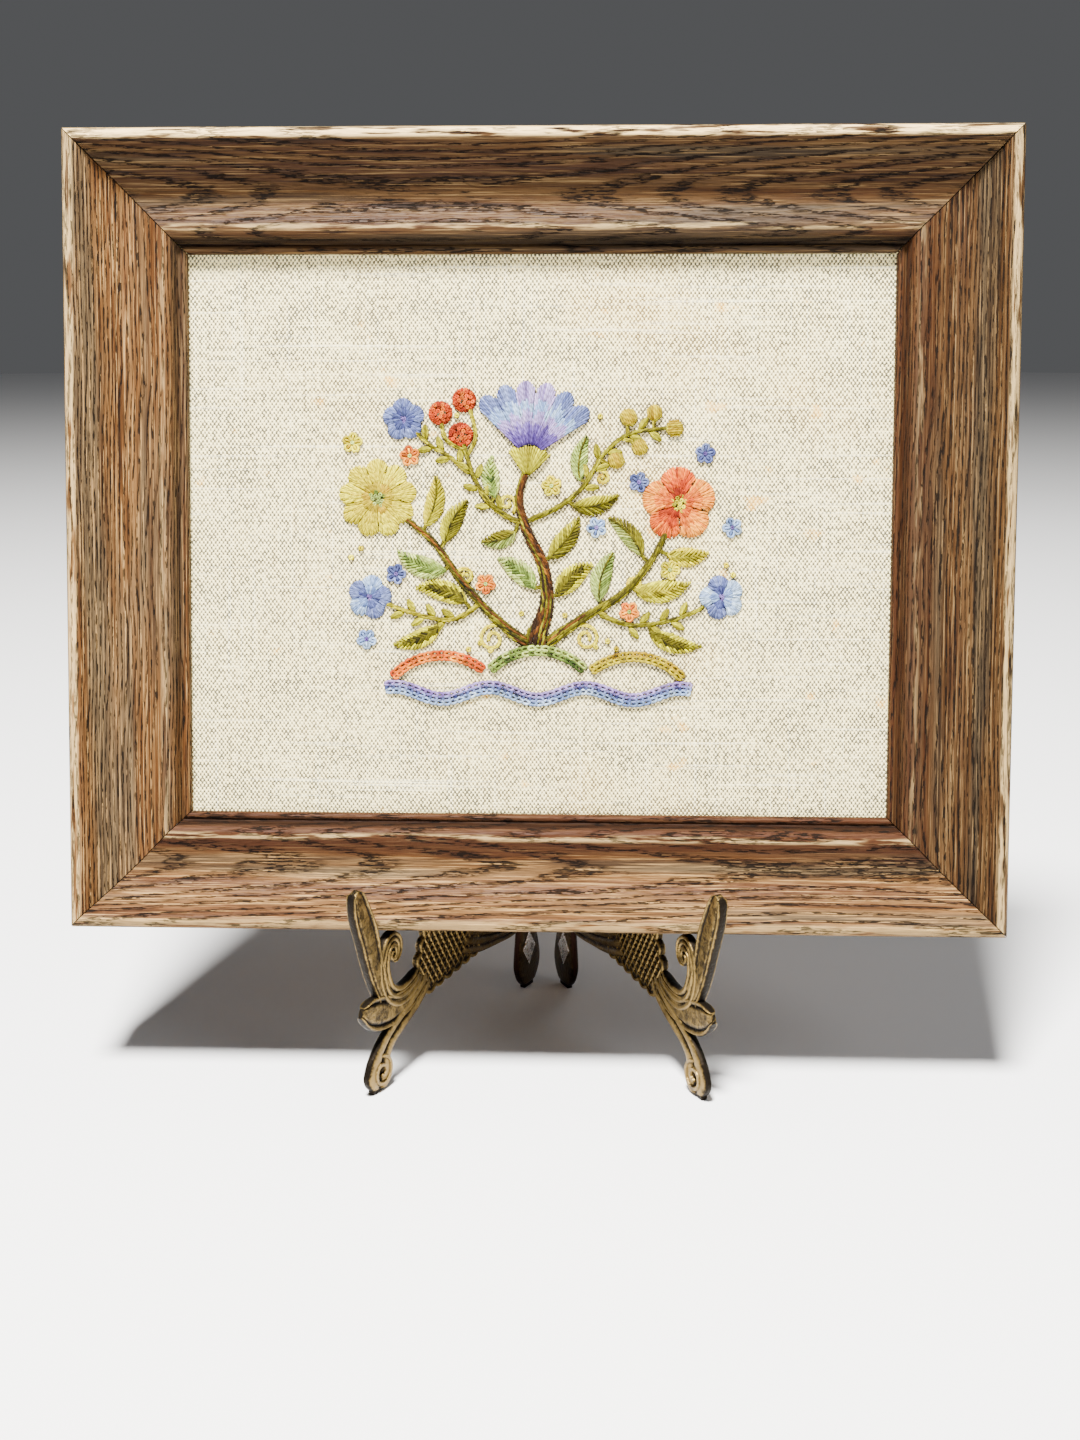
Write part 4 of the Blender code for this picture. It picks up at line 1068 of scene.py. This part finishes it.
# Grows a closed body from ring to ring; the last face is extruded and moved each time
def growBody(bm, rings, rubsAndGlints, rear):
    verts = [bm.verts.new(point) for point in rings[0]]
    mark(bm, verts, rubsAndGlints[0], rear)
    face = bm.faces.new(verts)
    for ring, wornAndLit in zip(rings[1:], rubsAndGlints[1:]):
        places = {vert.co.copy().freeze(): k for k, vert in enumerate(verts)}
        grown = bmesh.ops.extrude_face_region(bm, geom=[face])["geom"]
        face = next(item for item in grown if isinstance(item, bmesh.types.BMFace))
        verts = sorted((item for item in grown if isinstance(item, bmesh.types.BMVert)),
                       key=lambda vert: places[vert.co.copy().freeze()])
        for vert, point in zip(verts, ring):
            vert.co = point
        mark(bm, verts, wornAndLit, rear)


def faceProfile(manner, ridges):
    across = np.linspace(-1.0, 1.0, 8 * ridges + 3 if ridges > 1 else 23)
    far = np.abs(across)
    if manner == "ridged":
        # broad round ridges with narrow grooves between them
        high = 0.10 + 0.90 * np.abs(np.sin(pi * ridges * (across * 0.96 + 1.0) / 2.0)) ** 0.55
    elif manner == "rimmed":
        # a bright rim, a narrow groove inside it, and a low crowned middle
        rim, groove = (np.exp(-((far - middle) / half) ** 2) for middle, half in ((0.86, 0.10), (0.64, 0.09)))
        high = np.clip(0.74 + 0.26 * rim - 0.50 * groove, 0.0, 1.0)
    else:
        high = 0.5 + 0.5 * np.sqrt(np.clip(1.0 - across ** 2, 0.0, 1.0))
    rounded = np.clip((1.0 - far) / 0.08, 0.0, 1.0) ** 0.5
    return across, high * (0.25 + 0.75 * rounded)


def sideAt(path, i):
    x0, y0 = path[max(i - 1, 0)][:2]
    x1, y1 = path[min(i + 1, len(path) - 1)][:2]
    length = hypot(x1 - x0, y1 - y0)
    return -(y1 - y0) / length, (x1 - x0) / length


def growScroll(bm, rows, manner, ridges, thinner, rear, steps=5):
    across, high = faceProfile(manner, ridges)
    edge, top = (easel["edge"] - thinner) * 0.55, easel["half"] - thinner + 0.25
    path, rings = smoothRows(rows, steps), []
    for i, (reach, up, width) in enumerate(path):
        nu, nv = sideAt(path, i)
        fade = min(1.0, min(i, len(path) - 1 - i) / 3.0 + 0.35)
        face = np.column_stack((reach + nu * width / 2.0 * across, edge + (top - edge) * high * fade,
                                up + nv * width / 2.0 * across))
        rings.append(np.concatenate((face, face[::-1] * (1.0, -1.0, 1.0))))
    growBody(bm, rings, [np.concatenate((high, high[::-1]))] * len(rings), rear)


# A half-buried round bead along a line on both faces of a plate
def growBead(bm, path, radius, through, rear, sides=6):
    angles = np.arange(sides) * (fullTurn / sides)
    sideways, outwards = np.cos(angles), np.sin(angles)
    for face in (-1.0, 1.0):
        rings = []
        for i, (reach, up) in enumerate(path):
            nu, nv = sideAt(path, i)
            wide = radius * min(1.0, 0.4 + min(i, len(path) - 1 - i) / 2.0)
            rings.append(np.column_stack((reach + nu * wide * sideways, face * (through + wide * outwards),
                                          up + nv * wide * sideways)))
        growBody(bm, rings, [0.55 + 0.45 * np.maximum(outwards, 0.0)] * len(rings), rear)


def spiral(x, y, wide, high, turns, start, steps=34):
    path = []
    for t in np.arange(steps + 1) / steps:
        angle, reach = radians(start) - turns * fullTurn * t, 1.0 - 0.84 * t
        path.append((x + wide * reach * cos(angle), y + high * reach * sin(angle)))
    return path


def latticeOutline():
    outline, corners = [], lattice["corners"]
    for (x, y, scallops), (endX, endY, _) in zip(corners, corners[1:] + corners[:1]):
        dx, dy = endX - x, endY - y
        length = hypot(dx, dy)
        outline.append((x, y))
        for t in np.arange(1, scallops * 8) / max(scallops * 8, 1):
            rise = lattice["rise"] * abs(sin(pi * scallops * t))
            outline.append((x + dx * t - dy / length * rise, y + dy * t + dx / length * rise))
    return outline


# The part of a straight line that lies inside the panel's corners
def clipLine(px, py, dx, dy):
    low, high = -1e3, 1e3
    corners = [c[:2] for c in lattice["corners"]]
    for (ax, ay), (bx, by) in zip(corners, corners[1:] + corners[:1]):
        nx, ny = ay - by, bx - ax
        speed, gap = dx * nx + dy * ny, (ax - px) * nx + (ay - py) * ny
        if speed < -1e-9:
            low = max(low, gap / speed)
        elif speed > 1e-9:
            high = min(high, gap / speed)
        elif gap < 0.0:
            return 0.0, 0.0
    return low, high


def growLattice(bm):
    outline, base = latticeOutline(), easel["edge"] * 0.62
    growBody(bm, [[(x, through, y) for x, y in outline] for through in (-base, base)], (0.0, 0.0), 0.12)
    for angle in lattice["angles"]:
        dx, dy = cos(radians(angle)), sin(radians(angle))
        for k in range(-11, 12):
            px, py = polar(*lattice["middle"], k * lattice["spacing"], radians(angle + 90.0))
            low, high = clipLine(px, py, dx, dy)
            if high - low >= 1.5:
                steps = max(3, round((high - low) / 2.0))
                reaches = low + (high - low) * np.arange(steps + 1) / steps
                growBead(bm, [(px + dx * reach, py + dy * reach) for reach in reaches], lattice["wide"] * 0.55,
                         base, 0.06, 5)
    # beaded edge round the panel
    growBead(bm, outline + outline[:1], 0.75, base * 0.9, 0.06)


# The rest bar's rows: its front edge keeps clear of the leaning frame
def restRows():
    slant, lean, rows = easel["half"] * tan(easel["angle"]), panel["lean"], []
    for up, width in restBar:
        back = panel["depth"] / cos(lean) + (up - panel["lift"]) * tan(lean)
        edge = (back - easel["setBack"]) / cos(easel["angle"]) + slant + 0.45
        rows.append((edge + width / 2.0, up, width))
    return [(rows[0][0] + 1.0, 47.0, 12.0), *rows]


def growBox(bm, low, high, wornAndLit, rear, soft=0.35):
    low, high = Vector(low), Vector(high)
    shape = Matrix.LocRotScale((low + high) / 2.0, None, high - low)
    made = bmesh.ops.create_cube(bm, size=1.0, matrix=shape)["verts"]
    edges = list({edge for vert in made for edge in vert.link_edges})
    cut = bmesh.ops.bevel(bm, geom=edges, offset=soft, affect="EDGES", segments=2, profile=0.5, material=-1)
    mark(bm, {v for v in made if v.is_valid} | {v for f in cut["faces"] for v in f.verts}, wornAndLit, rear)


def growBarrel(bm, reach, low, high):
    r, bore, soft, near = easel["barrel"], easel["bore"], 0.4, 0.01
    profile = [(bore, low), (r - soft, low), (r, low + soft), (r, high - soft), (r - soft, high), (bore, high)]
    verts = [bm.verts.new((reach + radius, 0.0, up)) for radius, up in profile]
    edges = [bm.edges.new(ends) for ends in zip(verts, verts[1:] + verts[:1])]
    bmesh.ops.spin(bm, geom=verts + edges, cent=(reach, 0.0, 0.0), axis=(0, 0, 1), angle=fullTurn, steps=32,
                   use_merge=True)
    mark(bm, [vert for vert in bm.verts if hypot(vert.co.x - reach, vert.co.y) < r + near
              and low - near < vert.co.z < high + near], 0.5, 0.85)


def makePlate(side, sign, finish):
    bm = bmesh.new()
    for layer in ("rubAndGlint", "rear"):
        bm.verts.layers.float.new(layer)
    half, edge, inset = easel["half"], easel["edge"], easel["armInset"]
    for k, (rows, manner, ridges, rear) in enumerate(scrolls.values()):
        growScroll(bm, rows, manner, ridges, 0.05 * k, rear)
    growScroll(bm, restRows(), "rimmed", 1, 0.3, 0.8, 4)
    growLattice(bm)
    for *shape, bead in spirals:
        growBead(bm, spiral(*shape), bead, half - 0.30, 0.0)
    (reach, up), (wide, high) = facets["at"], facets["half"]
    for face in (-1.0, 1.0):
        rings = [[(reach + wide * s * a, face * (half - 0.5 + rise), up + high * s * b)
                  for a, b in ((1, 0), (0, 1), (-1, 0), (0, -1))] for s, rise in facets["rings"]]
        # a rub of 2 marks this facet for its painted reflection
        growBody(bm, rings, (2.0, 2.0), 0.0)
    for reach, rear in easel["soles"]:
        growBox(bm, (reach - easel["soleHalf"], -edge, 0.0), (reach + easel["soleHalf"], edge, easel["soleHigh"]),
                0.3, rear)
    split, slit, axis = easel["barrelSplit"], easel["slit"], easel["halfSpan"] / sin(easel["angle"])
    low, high = (easel["barrelLow"], split - slit) if side == "Left" else (split + slit, easel["barrelHigh"])
    growBarrel(bm, axis, low, high)
    growBox(bm, (easel["armFrom"], -edge, low + inset),
            (axis - (easel["barrel"] + easel["bore"]) / 2.0, edge, high - inset), 0.4, 0.85)
    foot = (easel["shift"] + sign * easel["halfSpan"], easel["setBack"] + panel["setBack"], 0.0)
    place = Matrix.Translation(foot) @ Matrix.Rotation(pi / 2.0 + sign * easel["angle"], 4, "Z")
    bmesh.ops.transform(bm, matrix=Matrix.Scale(mm, 4) @ place, verts=bm.verts)
    bmesh.ops.recalc_face_normals(bm, faces=bm.faces)
    for polygon in bm.faces:
        polygon.smooth = True
    mesh = bpy.data.meshes.new("easel" + side)
    bm.to_mesh(mesh)
    bm.free()
    mesh.set_sharp_from_angle(angle=radians(42.0))
    addPiece("easel" + side, mesh, finish, "brass", "easel_plate_" + side.lower())
    return sum(len(p.vertices) - 2 for p in mesh.polygons)


def makeEasel():
    finish = brassFinish()
    count = makePlate("Left", -1.0, finish) + makePlate("Right", 1.0, finish)
    dress("hinge_pin", finish)
    print("easel cast:", count, "triangles")


# Plain pale floor and soft studio light
studio = {"floor": (232, 232, 233), "roughness": 0.7, "air": (236, 238, 242), "airStrength": 0.11,
          # place, aim, size, power, colour: key high in front, weak ones at the side and behind
          "lamps": [((-0.22, -0.78, 1.95), (0.0, 0.0, 0.16), 0.45, 330.0, (1.0, 0.98, 0.94)),
                    ((1.3, -0.7, 0.9), (0.0, 0.0, 0.15), 1.0, 9.0, (1.0, 0.98, 0.96)),
                    ((0.7, 1.5, 1.1), (0.0, 0.0, 0.15), 0.8, 3.0, (0.97, 0.98, 1.0))]}


def makeStudio():
    bm = bmesh.new()
    bmesh.ops.create_circle(bm, cap_ends=True, segments=96, radius=9.0)
    mesh = bpy.data.meshes.new("floor")
    bm.to_mesh(mesh)
    bm.free()
    material, _ = startFinish("floor")
    mesh.materials.append(setFinish(material, {"Base Color": ink(studio["floor"]), "Roughness": studio["roughness"]}))
    show("floor", mesh)
    world = bpy.data.worlds.new("air")
    world.use_nodes = True
    sky = world.node_tree.nodes["Background"]
    sky.inputs["Color"].default_value = ink(studio["air"])
    sky.inputs["Strength"].default_value = studio["airStrength"]
    bpy.context.scene.world = world
    for number, (place, aim, size, power, colour) in enumerate(studio["lamps"]):
        lamp = bpy.data.lights.new(f"lamp{number}", "AREA")
        lamp.shape, lamp.size, lamp.energy, lamp.color = "DISK", size, power, colour
        held = show(f"lamp{number}", lamp)
        held.location = place
        held.rotation_euler = (held.location - Vector(aim)).to_track_quat("Z", "Y").to_euler()
    print("studio lit")


makeStudio()
finishRails()
finishBoard()
makeLinen()
sewStems()
sewLeaves()
sewBlossoms()
sewCarnation()
sewBerriesAndBuds()
sewHills()
sewSprigs()
sewCurlsAndSeeds()
sewPosies()
makeEasel()
